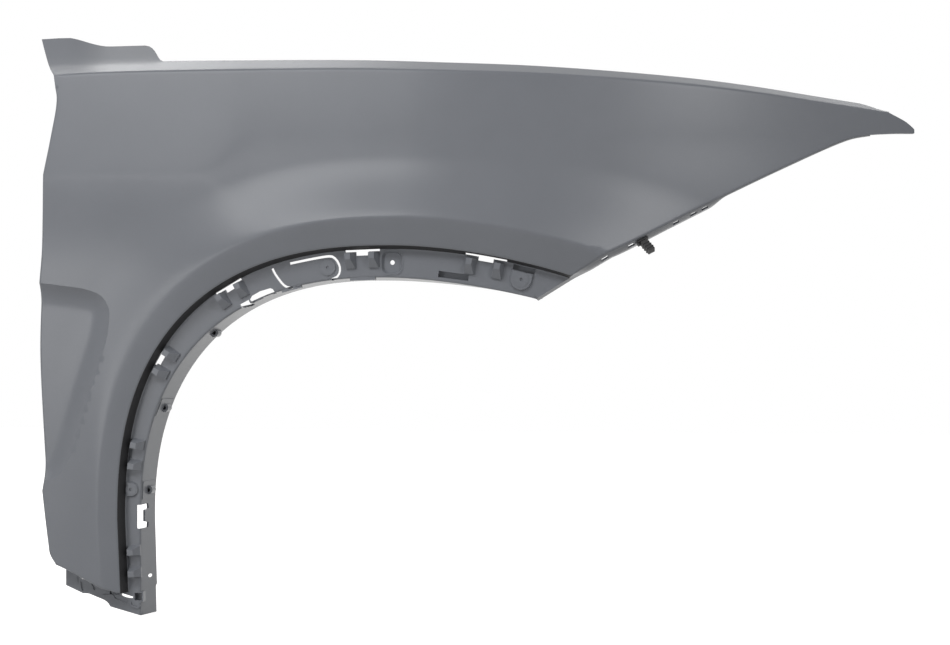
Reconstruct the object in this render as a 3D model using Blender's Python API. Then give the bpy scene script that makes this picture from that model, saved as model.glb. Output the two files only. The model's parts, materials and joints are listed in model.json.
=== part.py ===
"""Right-hand front fender of an off-road style car, moulded in one piece of plastic,
with the small black clip that guides the bumper along its front edge.

Metres. +X is forward, +Y is inboard and +Z is up, so the painted skin faces -Y.
The outlines are drawn in the X-Z plane about the wheel centre, and depth functions
give the Y of each surface. The panel is then moved so that the middle pad of the
bonnet rail, where it bolts to the body, has the origin on its flat top, beside its slot.
"""

import math
from collections import namedtuple

import bmesh
import bpy
import numpy as np
from mathutils import Matrix, Vector
from mathutils.geometry import delaunay_2d_cdt

# Moulding
WALL = 0.0030
SURFACE_STEP = 0.026
ARCH_STEPS = 40
LEG_STEPS = 5
MERGE = 0.00002
CURVE_STEPS = 24
HALVINGS = 60
ROW_SHARE = math.sqrt(3) / 2
CLEAR_SHARE = 0.55
LIP_SHARE = 0.7
PROBE_TURN = 0.01
PROBE_STEP = 0.001
DISC_SIDES = 24
HOLE_SIDES = 12

# Plan view of the body side: inboard curve of the skin ahead of and behind the wheel centre
NOSE_REACH = 0.715
NOSE_INBOARD = 0.200
TAIL_REACH = 0.506
TAIL_INBOARD = 0.010

# Wheel arch curves: centre offset, height, rear and front half lengths, powers, leg taper
Arch = namedtuple("Arch", "centre height rear front rear_power front_power taper")
FLARE_CREASE = Arch(0.010, 0.440, 0.4515, 0.719, 2.48, 1.78, 0.055)
SKIN_EDGE = Arch(-0.0066, 0.399, 0.4059, 0.653, 2.47, 1.80, 0.045)
INNER_EDGE = Arch(-0.0188, 0.3535, 0.3655, 0.690, 2.39, 1.69, 0.0)
LINER_BACK = Arch(-0.0309, 0.3500, 0.3486, 0.686, 2.36, 1.83, 0.03)
STEP_DRAFT = 0.0045
FLANGE_INSET = 0.030
LINER_DEPTH = 0.056
LEG_BOTTOM = -0.107
CORNER_BOTTOM = -0.141

# Front cut, where the bumper and the headlamp meet the panel
CUT_LOW = (0.201, 0.3225)
CUT_HIGH = (0.302, 0.3865)
FRONT_LINE = [(0.352, 0.4120), (0.445, 0.4622), (0.541, 0.5117), (0.625, 0.5527),
              (0.661, 0.5633), (0.698, 0.5672)]
NOSE_TIP = [(0.7325, 0.5684), (0.7357, 0.5718), (0.727, 0.581), (0.717, 0.5882), (0.6966, 0.5988)]
TOP_LINE = [(0.600, 0.6115), (0.484, 0.627), (0.371, 0.638), (0.201, 0.649), (0.057, 0.6545),
            (-0.092, 0.6595), (-0.304, 0.661), (-0.448, 0.6605)]
TOP_REAR = (-0.532, 0.658)
REAR_UPPER = [(-0.525, 0.618), (-0.5295, 0.567)]
MID_CREASE_REAR = (-0.537, 0.508)
REAR_MIDDLE = [(-0.5335, 0.450), (-0.5325, 0.395)]
SCALLOP_REAR_TOP = (-0.536, 0.347)
REAR_LOWER = [(-0.5387, 0.245), (-0.533, 0.130)]
SCALLOP_REAR_BOTTOM = (-0.528, 0.057)
REAR_KINK = (-0.531, 0.041)
REAR_FOOT = [(-0.5245, -0.012), (-0.5185, -0.049)]
BOTTOM_REAR = (-0.508, -0.067)
BOTTOM_CREASE_Z = -0.1005

# Depth of the skin
FLARE_TOP = 0.014
FLARE_LEG = 0.010
FLARE_NOSE = 0.022
SWEEP_TOP = 0.090
SWEEP_LEG = 0.110
SWEEP_NOSE = 0.130
BAND_SLOPE_TOP = 0.34
BAND_SLOPE_LEG = 0.22
CREASE_RADIUS = 0.0025
CREASE_SOFT_RADIUS = 0.022
CREASE_SOFT_ANGLE = math.radians(55)
CREASE_SOFT_SPREAD = math.radians(18)
VALLEY_HEIGHT = 0.5005
VALLEY_RISE = 0.0075
HAUNCH = 0.018
HAUNCH_DROP = 0.150
TUMBLEHOME = 0.23
VALLEY_SHARP = 0.003
VALLEY_SOFT = 0.060
VALLEY_FADE_START = -0.200
VALLEY_FADE_LENGTH = 0.100

# Scallop pressed into the rear of the door side
SCALLOP_LIP = [(-0.506, 0.3435), (-0.466, 0.338), (-0.441, 0.329), (-0.430, 0.316), (-0.4255, 0.300),
               (-0.430, 0.262), (-0.450, 0.199), (-0.473, 0.125), (-0.483, 0.097), (-0.499, 0.070),
               (-0.514, 0.058)]
SCALLOP_DEPTH = 0.012
SCALLOP_RUN = 0.034

# Ledge along the bonnet and the ear at its rear end
LEDGE_SHARES = (0.0, 0.12, 0.42, 0.72, 1.0)
LEDGE_WIDTH = 0.043
LEDGE_NOSE_WIDTH = 0.0195
LEDGE_TAPER_START = -0.360
LEDGE_TAPER_END = 0.650
LEDGE_TIP_WIDTH = 0.004
LEDGE_TIP_LENGTH = 0.045
LEDGE_SLOPE = 0.44
EAR_WIDTH = 0.095
EAR_FRONT = -0.3735
EAR_BLEND = 0.036
EAR_STEEPER = 0.585
EAR_LEAN = 0.56
EAR_LEAN_LENGTH = 0.130
EAR_LIFT = 0.016
EAR_LIFT_START = -0.444
EAR_LIFT_LENGTH = 0.050

# Bonnet rail under the ledge
RAIL_START = -0.375
RAIL_END = 0.530
RAIL_DROP = 0.016
RAIL_DRAFT = 0.002
RAIL_WIDTH = 0.024
PAD_LENGTH = 0.038
PAD_WIDTH = 0.020
PAD_HEIGHT = 0.0035
PAD_SLOT_LENGTH = 0.016
PAD_SLOT_WIDTH = 0.0075
PAD_SLOT_CORNER = 0.0036
PAD_PLACES = [-0.300, -0.110, 0.080, 0.270, 0.440]

# Returns along the rear, bottom and front edges
HEM_DEPTH = 0.014
HEM_GAP = 0.016
FRONT_RETURN_LIP = 0.012
FRONT_RETURN_END = 0.436
FRONT_RETURN_FADE = 0.030
FRONT_RETURN_SPLAY = 0.0058
FRONT_RETURN_BULGE = 0.0020
FRONT_RETURN_BULGE_PLACE = 0.315
FRONT_RETURN_BULGE_REACH = 0.035
FRONT_HEM_END = 0.670
FRONT_HEM_SHARE = 0.28
FRONT_BLEND = 0.030

# Bracket at the foot of the leg, in the plane of the flange
BRACKET_OUTLINE = [(-0.431, -0.129), (-0.434, -0.124), (-0.439, -0.120), (-0.466, -0.110), (-0.472, -0.111),
                   (-0.500, -0.099)]
BRACKET_REAR_TOP = (-0.500, -0.070)

# Cleats and slots that hold the arch cladding: angles about the wheel centre, top is zero, then
# where the slit starts across the flange, its length and that of the notch between the cleats
Pair = namedtuple("Pair", "rear front start slit notch")
CLEAT_PAIRS = [Pair(37.7, 33.2, 0.0006, 0.0440, 0.0130), Pair(8.8, 3.7, 0.0002, 0.0510, 0.0193),
               Pair(-16.9, -22.6, -0.0031, 0.0605, 0.0218), Pair(58.0, 53.7, 0.0006, 0.0225, 0.0165),
               Pair(78.4, 74.0, 0.0006, 0.0420, 0.0140), Pair(100.9, 96.5, 0.0006, 0.0420, 0.0140)]
CLEAT_WIDTH = 0.0164
CLEAT_LENGTH = 0.0225
CLEAT_LENGTH_LEG = 0.0175
CLEAT_HEIGHT = 0.012
CLEAT_GAP = 0.0009
CLEAT_NOSE = 0.009
CLEAT_TOE = 0.0030
CLEAT_LEAN_REAR = 0.08
CLEAT_LEAN_FRONT = 0.50
SLIT_WIDTH = 0.003
NOTCH_DEPTH = 0.0085
NOTCH_DEPTH_LEG = 0.0045
LEG_START = 45.0
BLIND_FROM = 70.0
SLIT_POCKET_DEPTH = 0.006

# Open spaces and bosses of the flange
CUT_REACH = 0.009
TONGUE_UPPER = [(21.9, 0.0056), (16.9, 0.0060), (13.4, 0.0059), (12.3, 0.0098), (11.7, 0.0162),
                (11.4, 0.0246), (11.7, 0.0326), (12.4, 0.0372), (13.6, 0.0395)]
TONGUE_LEFT = [(22.5, 0.0404), (23.6, 0.0384), (24.4, 0.0331), (25.0, 0.0243), (25.5, 0.0139),
               (25.7, 0.0050)]
TONGUE_GROOVE = [(14.2, 0.0400), (17.8, 0.0408), (22.0, 0.0407)]
TONGUE_SLIT = 0.0035
TONGUE_GROOVE_WIDTH = 0.0016
TONGUE_GROOVE_DEPTH = 0.0020
TONGUE_BOSS = (14.0, 0.0217)
TONGUE_BOSS_RADIUS = 0.0115
BOSS_HEIGHT = 0.0016
DIMPLE_RADIUS = 0.0022
DIMPLE_DEPTH = 0.0012
CUP_PLACE = (0.0, 0.0195)
CUP_SIZE = (0.030, 0.033)
CUP_SLOPE = 0.55
CUP_CORNER = 0.010
CUP_DEPTH = 0.0045
CUP_RIM = 0.0008
CUP_RIM_WIDTH = 0.0014
PATH_STEP = 0.0050
CUP_HOLE_RADIUS = 0.0034
KEY_SLOT = (-13.6, 0.0325)
KEY_SLOT_SIZE = (0.044, 0.009)
POCKET_DEPTH = 0.012
POCKET_FLOOR = 0.002
NOSE_SLOT = (-27.4, 0.0048)
NOSE_SLOT_SIZE = (0.032, 0.0075)
NOSE_PAD = (-27.3, 0.0200)
NOSE_PAD_RADIUS = 0.0175
NOSE_PAD_STRAIGHT = 0.0105
POCKETS = [(KEY_SLOT, KEY_SLOT_SIZE), (NOSE_SLOT, NOSE_SLOT_SIZE)]
LEG_PAD = (83.7, 0.0092)
LEG_PAD_RADIUS = 0.0125
LEG_PAD_STRAIGHT = 0.0065
PAD_RISE = 0.0035
PAD_DRAFT = 0.0030
PAD_DISC = 0.62
PAD_DISC_RISE = 0.0006
LEG_WINDOW = [(-0.3888, -0.0135), (-0.378, -0.0135), (-0.378, 0.021), (-0.3888, 0.021), (-0.3888, 0.0118),
              (-0.3840, 0.0100), (-0.3840, 0.0050), (-0.3888, 0.0022)]
LEG_WINDOW_ANGLE = 89.4
LEG_WINDOW_CUT = [(-0.0175, -0.006), (0.017, -0.006), (0.018, 0.029), (0.011, 0.031), (0.009, 0.017),
                  (-0.008, 0.017), (-0.010, 0.031), (-0.0175, 0.029)]
SHOULDER_WINDOW_ANGLE = 33.0
SHOULDER_WINDOW_CUT = [(-0.009, -0.006), (0.006, -0.006), (0.006, 0.026), (0.000, 0.028), (-0.008, 0.008)]
SHOULDER_WINDOW = [(-0.2180, 0.3225), (-0.2145, 0.3168), (-0.2040, 0.3176), (-0.2002, 0.3195),
                   (-0.1987, 0.3250), (-0.1840, 0.3303), (-0.1777, 0.3285), (-0.1833, 0.3372),
                   (-0.1875, 0.3385), (-0.2032, 0.3340), (-0.2153, 0.3272)]

# Screw bosses of the liner return, which face outboard, and the hole at its foot
LINER_BOSSES = [42.8, 63.7, 83.3]
LINER_BOSS_DEPTH = 0.033
LINER_BOSS_RADIUS = 0.0065
LINER_BOSS_FRONT = 0.008
LINER_BOSS_ROOT = 0.010
LINER_BOSS_HOLE = 0.0030
LINER_BOSS_HOLE_DEPTH = 0.012
FOOT_HOLE_RADIUS = 0.0028
FOOT_HOLE_REACH = 0.020
FOOT_HOLE_TURN = math.radians(17.4)
LINER_PATCH = (0.027, 0.046)
LINER_PATCH_RISE = 0.0010
LINER_PATCHES = [63.7, 83.3]
FOOT_HOLE_Z = -0.088
FOOT_STEP_Z = -0.1045
FOOT_STEP_DEPTH = 0.0520
FOOT_STEP_CORNER = 0.003
RIM_TABS = [(21.9, 0.030), (4.9, 0.037)]
RIM_TAB_HEIGHT = 0.0035
RIM_TAB_DEPTH = 0.008

# Open spaces of the bracket
BRACKET_WINDOWS = [[(-0.4792, -0.0827), (-0.4673, -0.0892), (-0.4675, -0.0911), (-0.4753, -0.0892),
                    (-0.4797, -0.0856)],
                   [(-0.4138, -0.1088), (-0.3956, -0.1138), (-0.3964, -0.1160), (-0.4060, -0.1152),
                    (-0.4147, -0.1120)]]
BRACKET_GROOVES = [[(-0.4775, -0.0930), (-0.4735, -0.0950), (-0.4720, -0.1075), (-0.4755, -0.1062)],
                   [(-0.4640, -0.0900), (-0.4560, -0.0945), (-0.4530, -0.1040), (-0.4565, -0.1050),
                    (-0.4590, -0.0985)]]
BRACKET_GROOVE_DEPTH = 0.0018
FOOT_POCKET = ((-0.3935, -0.119), (-0.3825, -0.108))
LIP_POCKET = ((-0.4320, -0.1112), (-0.4165, -0.1060))
LIP_POCKET_DEPTH = 0.006
RIDGES = [[(-0.4420, -0.1130), (-0.4265, -0.1127), (-0.4235, -0.1178), (-0.4075, -0.1235),
           (-0.4055, -0.1190)],
          [(-0.4000, -0.1215), (-0.3985, -0.1265), (-0.3880, -0.1300), (-0.3850, -0.1255)]]
RIDGE_WIDTH = 0.0026
RIDGE_RISE = 0.0024
SILL_PAD = ((-0.4985, -0.0965), (-0.4815, -0.0765))
SILL_PAD_HEIGHT = 0.0016

# Clip in the front return
CLIP_PLACE = 0.3475
CLIP_HEAD = (0.017, 0.0035, 0.010)
CLIP_NECK = (0.0100, 0.0060)
CLIP_SHANK = (0.0105, 0.0225, 0.0085)
CLIP_BARB = (0.013, 0.0030, 0.0085)
CLIP_RIB = (0.0118, 0.0016, 0.0098)
CLIP_RIBS = (0.006, 0.011, 0.016)
CLEARANCE = 0.0003
BARB_GAP = 0.0016
CLIP_SEAT = 0.0006
RETURN_SLOTS = [0.2975, 0.3335, 0.3945, 0.4185, 0.4340]
RETURN_SLOT_SIZE = (0.010, 0.006)


def smooth(t):
    """Ease from 0 to 1 as t goes from 0 to 1."""
    t = min(max(t, 0.0), 1.0)
    return t * t * (3.0 - 2.0 * t)


def mix(a, b, t):
    return a + (b - a) * t


def hinge(t, radius):
    """Zero below 0 and t above it, with a corner of about the given radius."""
    return 0.5 * (t + math.hypot(t, radius))


def spline(points, step):
    """Points at an even step along a smooth curve through the given ones."""
    ends = [2 * np.array(points[0]) - np.array(points[1]), 2 * np.array(points[-1]) - np.array(points[-2])]
    knots = [ends[0]] + [np.array(p, dtype=float) for p in points] + [ends[1]]
    dense = []
    for a, b, c, d in zip(knots, knots[1:], knots[2:], knots[3:]):
        for t in np.linspace(0.0, 1.0, CURVE_STEPS, endpoint=False):
            dense.append(0.5 * (2 * b + (c - a) * t + (2 * a - 5 * b + 4 * c - d) * t ** 2
                                + (3 * b - a - 3 * c + d) * t ** 3))
    dense.append(knots[-2])
    return even(dense, step)


def even(points, step):
    """The same polyline, divided at an even step, with its two ends kept."""
    line = np.array(points, dtype=float)
    lengths = np.concatenate([[0.0], np.cumsum(np.linalg.norm(np.diff(line, axis=0), axis=1))])
    count = max(1, round(lengths[-1] / step))
    marks = np.linspace(0.0, lengths[-1], count + 1)
    return [tuple(np.interp(m, lengths, line[:, k]) for k in range(line.shape[1])) for m in marks]


def plan(x):
    """How far the body side lies inboard of its widest point at this length."""
    if x > 0.0:
        return NOSE_INBOARD * (x / NOSE_REACH) ** 2
    return TAIL_INBOARD * (x / TAIL_REACH) ** 2


def plan_slope(x):
    if x > 0.0:
        return 2.0 * NOSE_INBOARD * x / NOSE_REACH ** 2
    return 2.0 * TAIL_INBOARD * x / TAIL_REACH ** 2


def arch_point(arch, angle):
    """Point of an arch curve at an angle from the top, positive to the rear.

    Past 90 degrees the leg runs straight down with its taper.
    """
    if angle > math.pi / 2:
        drop = arch.rear * math.tan(angle - math.pi / 2)
        return (arch.centre - arch.rear + arch.taper * drop, -drop)
    length, power = (arch.rear, arch.rear_power) if angle >= 0.0 else (arch.front, arch.front_power)
    side, rise = abs(math.sin(angle)) / length, abs(math.cos(angle)) / arch.height
    radius = (side ** power + rise ** power) ** (-1.0 / power)
    return (arch.centre - radius * math.sin(angle), radius * math.cos(angle))


def arch_distance(arch, x, z):
    """Distance outside an arch curve, negative on the wheel's side."""
    if z < 0.0:
        return (arch.centre - x) - (arch.rear + arch.taper * z)
    length, power = (arch.rear, arch.rear_power) if x < arch.centre else (arch.front, arch.front_power)
    ratio = ((abs(x - arch.centre) / length) ** power + (z / arch.height) ** power) ** (1.0 / power)
    return (1.0 - 1.0 / max(ratio, 1e-6)) * math.hypot(x - arch.centre, z)


def cut_height(x):
    """Height of the straight front cut at this length."""
    return CUT_LOW[1] + (x - CUT_LOW[0]) * (CUT_HIGH[1] - CUT_LOW[1]) / (CUT_HIGH[0] - CUT_LOW[0])


def front_angle(arch):
    """Angle at which an arch curve meets the front cut."""
    high, low = 0.0, -math.pi / 2
    for _ in range(HALVINGS):
        middle = (high + low) / 2
        x, z = arch_point(arch, middle)
        high, low = (middle, low) if z > cut_height(x) else (high, middle)
    return high


def arch_line(arch, bottom):
    """The arch curve as points, from the foot of the leg round to the front cut."""
    leg = [math.pi / 2 + math.atan2(-bottom * k / LEG_STEPS, arch.rear) for k in range(LEG_STEPS, 0, -1)]
    bow = [mix(math.pi / 2, front_angle(arch), k / ARCH_STEPS) for k in range(ARCH_STEPS + 1)]
    return [arch_point(arch, a) for a in leg + bow]


def step_foot():
    """The curve at the bottom of the step, inside the skin's edge by its draft."""
    return SKIN_EDGE._replace(height=SKIN_EDGE.height - STEP_DRAFT, rear=SKIN_EDGE.rear - STEP_DRAFT,
                              front=SKIN_EDGE.front - STEP_DRAFT)


def valley(x):
    """Height of the mid crease, level with its start on the rear edge."""
    return VALLEY_HEIGHT + VALLEY_RISE * smooth(-x / TAIL_REACH)


def scallop_inset(x, z):
    """Distance of a point inside the scallop's lip, or zero outside it."""
    lip = [SCALLOP_REAR_TOP] + SCALLOP_LIP + [SCALLOP_REAR_BOTTOM]
    if not inside(lip + [(-1.0, SCALLOP_REAR_BOTTOM[1]), (-1.0, SCALLOP_REAR_TOP[1])], x, z):
        return 0.0
    return min(segment_distance((x, z), a, b) for a, b in zip(lip, lip[1:]))


def inside(loop, x, z):
    """Whether a point lies inside a closed outline."""
    hit = False
    for (ax, az), (bx, bz) in zip(loop, loop[1:] + loop[:1]):
        if (az > z) != (bz > z) and x < (bx - ax) * (z - az) / (bz - az) + ax:
            hit = not hit
    return hit


def segment_distance(point, a, b):
    ax, az = a
    dx, dz = b[0] - ax, b[1] - az
    t = min(max(((point[0] - ax) * dx + (point[1] - az) * dz) / (dx * dx + dz * dz), 0.0), 1.0)
    return math.hypot(point[0] - ax - t * dx, point[1] - az - t * dz)


def skin_depth(x, z):
    """Y of the painted skin."""
    angle = math.atan2(FLARE_CREASE.centre - x, max(z, 1e-6))
    leg, nose = smooth(angle / (math.pi / 2)), smooth(-angle / (math.pi / 4))
    flare = mix(mix(FLARE_TOP, FLARE_LEG, leg), FLARE_NOSE, nose)
    sweep = mix(mix(SWEEP_TOP, SWEEP_LEG, leg), SWEEP_NOSE, nose)
    band = mix(BAND_SLOPE_TOP, BAND_SLOPE_LEG, leg)
    softness = math.exp(-((angle - CREASE_SOFT_ANGLE) / CREASE_SOFT_SPREAD) ** 2)
    radius = mix(CREASE_RADIUS, CREASE_SOFT_RADIUS, softness)
    away = arch_distance(FLARE_CREASE, x, z)
    reach = min(hinge(away, radius) / sweep, 1.0)
    above = z - valley(x)
    fade = smooth((VALLEY_FADE_START - x) / VALLEY_FADE_LENGTH)
    upper = TUMBLEHOME * hinge(above, mix(VALLEY_SOFT, VALLEY_SHARP, fade))
    lower = HAUNCH * (1.0 - min(max(-above / HAUNCH_DROP, 0.0), 1.0)) ** 2
    press = min(scallop_inset(x, z) / SCALLOP_RUN, 1.0)
    scallop = SCALLOP_DEPTH * (1.0 - (1.0 - press) ** 2)
    return (plan(x) + (flare + upper + lower) * (1.0 - (1.0 - reach) ** 2)
            + band * hinge(-away, radius) + scallop)


def flange_depth(x, z):
    """Y of the flange that carries the arch cladding, and of the bracket below it."""
    return plan(x) + FLANGE_INSET


def on_skin(points):
    return [Vector((x, skin_depth(x, z), z)) for x, z in points]


def on_flange(points):
    return [Vector((x, flange_depth(x, z), z)) for x, z in points]


def mid_crease():
    """The crease that starts on the rear edge and fades towards the front."""
    start = MID_CREASE_REAR[0]
    end = VALLEY_FADE_START - VALLEY_FADE_LENGTH / 4
    count = max(2, round((end - start) / SURFACE_STEP))
    line = [(mix(start, end, k / count), valley(mix(start, end, k / count))) for k in range(count + 1)]
    line[0] = MID_CREASE_REAR
    return line


class Outlines:
    """The boundary lines that neighbouring surfaces share, point for point."""

    def __init__(self):
        foot = step_foot()
        self.edge = arch_line(SKIN_EDGE, LEG_BOTTOM)
        self.foot = arch_line(foot, LEG_BOTTOM)
        self.inner = arch_line(INNER_EDGE, CORNER_BOTTOM)
        self.liner = arch_line(LINER_BACK, CORNER_BOTTOM)
        self.crease = arch_line(FLARE_CREASE, BOTTOM_CREASE_Z)
        self.front = (even([self.edge[-1], self.crease[-1]], SURFACE_STEP)
                      + spline([self.crease[-1]] + FRONT_LINE + [NOSE_TIP[0]], SURFACE_STEP)[1:])
        self.tip = spline(NOSE_TIP, SURFACE_STEP / 3)
        self.top = spline([NOSE_TIP[-1]] + TOP_LINE + [TOP_REAR], SURFACE_STEP)
        self.rear = (spline([TOP_REAR] + REAR_UPPER + [MID_CREASE_REAR], SURFACE_STEP)
                     + spline([MID_CREASE_REAR] + REAR_MIDDLE + [SCALLOP_REAR_TOP], SURFACE_STEP)[1:]
                     + spline([SCALLOP_REAR_TOP] + REAR_LOWER + [SCALLOP_REAR_BOTTOM], SURFACE_STEP)[1:]
                     + even([SCALLOP_REAR_BOTTOM, REAR_KINK], SURFACE_STEP)[1:]
                     + spline([REAR_KINK] + REAR_FOOT + [BOTTOM_REAR], SURFACE_STEP)[1:])
        self.bottom = (even([BOTTOM_REAR, self.crease[0]], SURFACE_STEP)
                       + even([self.crease[0], self.edge[0]], SURFACE_STEP)[1:])
        self.bottom_foot = self.shifted_bottom()
        self.flange_cut = even([self.foot[-1], self.inner[-1]], SURFACE_STEP)
        self.scallop = spline([SCALLOP_REAR_TOP] + SCALLOP_LIP + [SCALLOP_REAR_BOTTOM],
                              SURFACE_STEP * LIP_SHARE)

    def shifted_bottom(self):
        """The bottom return's inner line, from the bracket's rear end to the foot of the step."""
        count = len(self.bottom) - 1
        return [(mix(BRACKET_REAR_TOP[0], self.foot[0][0], k / count),
                 mix(BRACKET_REAR_TOP[1], self.foot[0][1], k / count)) for k in range(count + 1)]

    def skin_loop(self):
        """The closed outline of the skin."""
        return (self.edge[:-1] + self.front[:-1] + self.tip[:-1] + self.top[:-1]
                + self.rear[:-1] + self.bottom[:-1])

    def flange_loop(self):
        """The closed outline of the flange and the bracket, with the corner line straight to its foot."""
        bracket = [self.inner[0]] + BRACKET_OUTLINE
        return (self.foot[:-1] + self.flange_cut[:-1] + self.inner[:0:-1] + bracket
                + self.bottom_foot[:-1])


def fill(mesh, loop, creases, depth, step):
    """Triangulate a closed X-Z outline with its creases and lift each point to its depth."""
    points = list(loop)
    edges = [(k, (k + 1) % len(loop)) for k in range(len(loop))]
    for line in creases:
        ids = []
        for p in line:
            near = [k for k, q in enumerate(points) if math.dist(p, q) < MERGE]
            if near:
                ids.append(near[0])
            else:
                points.append(p)
                ids.append(len(points) - 1)
        edges += list(zip(ids, ids[1:]))
    points += grid_points(points, edges, len(loop), step)
    flat = [Vector(p) for p in points]
    verts, _, faces, origins, _, _ = delaunay_2d_cdt(flat, edges, [list(range(len(loop)))], 1, 1e-7)
    lifted = []
    for place, origin in zip(verts, origins):
        x, z = points[origin[0]] if origin else (place.x, place.y)
        lifted.append(mesh.verts.new((x, depth(x, z), z)))
    for face in faces:
        mesh.faces.new([lifted[k] for k in face])


def grid_points(points, edges, loop_size, step):
    """A triangular grid of points inside the outline, clear of every line."""
    flat = np.array(points)
    low, high = flat.min(axis=0), flat.max(axis=0)
    rows = int((high[1] - low[1]) / (step * ROW_SHARE)) + 1
    columns = int((high[0] - low[0]) / step) + 1
    grid = np.array([(low[0] + step * (i + 0.5 * (j % 2)), low[1] + step * ROW_SHARE * j)
                     for j in range(rows) for i in range(columns)])
    a = flat[[e[0] for e in edges]]
    b = flat[[e[1] for e in edges]]
    keep = []
    outline_a, outline_b = a[:loop_size], b[:loop_size]
    for x, z in grid:
        crosses = (outline_a[:, 1] > z) != (outline_b[:, 1] > z)
        rise = np.where(crosses, outline_b[:, 1] - outline_a[:, 1], 1.0)
        reach = (outline_b[:, 0] - outline_a[:, 0]) * (z - outline_a[:, 1]) / rise + outline_a[:, 0]
        if np.count_nonzero(crosses & (x < reach)) % 2 == 0:
            continue
        d = b - a
        t = np.clip(((x - a[:, 0]) * d[:, 0] + (z - a[:, 1]) * d[:, 1]) / (d ** 2).sum(axis=1), 0.0, 1.0)
        gap = np.hypot(x - a[:, 0] - t * d[:, 0], z - a[:, 1] - t * d[:, 1]).min()
        if gap > CLEAR_SHARE * step:
            keep.append((float(x), float(z)))
    return keep


def strip(mesh, rows):
    """Join rows of points of one length with faces."""
    lines = [[mesh.verts.new(p) for p in row] for row in rows]
    for low, high in zip(lines, lines[1:]):
        for k in range(len(low) - 1):
            mesh.faces.new((low[k], low[k + 1], high[k + 1], high[k]))


def between(a, b, t):
    """A row of points part of the way from one row to another."""
    return [p.lerp(q, t) for p, q in zip(a, b)]


def ledge_width(x):
    share = min(max((x - LEDGE_TAPER_START) / (LEDGE_TAPER_END - LEDGE_TAPER_START), 0.0), 1.0)
    narrow = mix(LEDGE_WIDTH, LEDGE_NOSE_WIDTH, share)
    narrow = mix(narrow, LEDGE_TIP_WIDTH, smooth((x - LEDGE_TAPER_END) / LEDGE_TIP_LENGTH))
    return mix(narrow, EAR_WIDTH, smooth((EAR_FRONT - x) / EAR_BLEND))


def ledge_point(x, z, out):
    """Point of the ledge at a distance inboard of the top crease."""
    base = skin_depth(x, z)
    share = out / ledge_width(x)
    lean = EAR_LEAN * smooth((EAR_FRONT - x) / EAR_LEAN_LENGTH) * out
    steep = EAR_STEEPER * max(out - LEDGE_WIDTH, 0.0)
    lift = EAR_LIFT * smooth((EAR_LIFT_START - x) / EAR_LIFT_LENGTH) * share ** 2
    return Vector((x - lean, base + out, z + LEDGE_SLOPE * min(out, LEDGE_WIDTH) + steep + lift))


def add_ledge(mesh, top):
    """The ledge beside the bonnet, with the rail that bolts to the body below it."""
    strip(mesh, [[ledge_point(x, z, s * ledge_width(x)) for x, z in top] for s in LEDGE_SHARES])
    along = [(x, z) for x, z in top if RAIL_START <= x <= RAIL_END]
    brow = [ledge_point(x, z, ledge_width(x)) for x, z in along]
    sill = [p + Vector((0.0, RAIL_DRAFT, -RAIL_DROP)) for p in brow]
    rim = [p + Vector((0.0, RAIL_WIDTH, 0.0)) for p in sill]
    strip(mesh, [brow, sill, rim])


def add_hem(mesh, rear):
    """The return along the rear edge, short of both corners."""
    line = [(x, z) for x, z in rear if BOTTOM_REAR[1] + HEM_GAP < z < TOP_REAR[1] - HEM_GAP]
    lip = on_skin(line)
    strip(mesh, [lip, [p + Vector((0.0, HEM_DEPTH, 0.0)) for p in lip]])


def cut_normal():
    """Direction away from the panel across the front cut, in the X-Z plane."""
    along = Vector((CUT_HIGH[0] - CUT_LOW[0], 0.0, CUT_HIGH[1] - CUT_LOW[1])).normalized()
    return Vector((along.z, 0.0, -along.x))


def return_depth(lines):
    """Depth of the front return: that of the step where it starts."""
    x, z = lines.edge[-1]
    return flange_depth(*lines.foot[-1]) - skin_depth(x, z)


def return_rows(lines, points):
    """Rows of the front return behind the given points of the front edge."""
    depth = return_depth(lines)
    start = Vector((lines.edge[-1][0], 0.0, lines.edge[-1][1]))
    drift = Vector((lines.foot[-1][0], 0.0, lines.foot[-1][1])) - start
    rows = []
    for share, splay, extra in ((0.0, 0.0, 0.0), (0.5, 0.35, 0.0), (1.0, 0.85, 0.0), (1.0, 1.0, 1.0)):
        row = []
        for x, z in points:
            base = Vector((x, skin_depth(x, z), z))
            blend = smooth((Vector((x, 0.0, z)) - start).length / FRONT_BLEND)
            size = mix(1.0, FRONT_HEM_SHARE, smooth((x - FRONT_RETURN_END) / FRONT_RETURN_FADE))
            spread = mix(0.5, 1.0, blend) if extra else splay * blend
            bulge = math.exp(-((x - FRONT_RETURN_BULGE_PLACE) / FRONT_RETURN_BULGE_REACH) ** 2)
            reach = FRONT_RETURN_SPLAY + FRONT_RETURN_BULGE * bulge
            side = drift * share * (1.0 - blend) + cut_normal() * (reach * spread * size)
            row.append(base + side + Vector((0.0, (depth * share + FRONT_RETURN_LIP * extra) * size, 0.0)))
        rows.append(row)
    return rows


def add_front_return(mesh, lines):
    """The wall behind the front edge, which the bumper's edge follows."""
    points = [p for p in lines.front if p[0] <= FRONT_HEM_END]
    strip(mesh, return_rows(lines, points))
    lower = on_flange(lines.flange_cut)
    lip = cut_normal() * (FRONT_RETURN_SPLAY * 0.5) + Vector((0.0, FRONT_RETURN_LIP, 0.0))
    strip(mesh, [lower, [p + lip for p in lower]])


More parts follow.
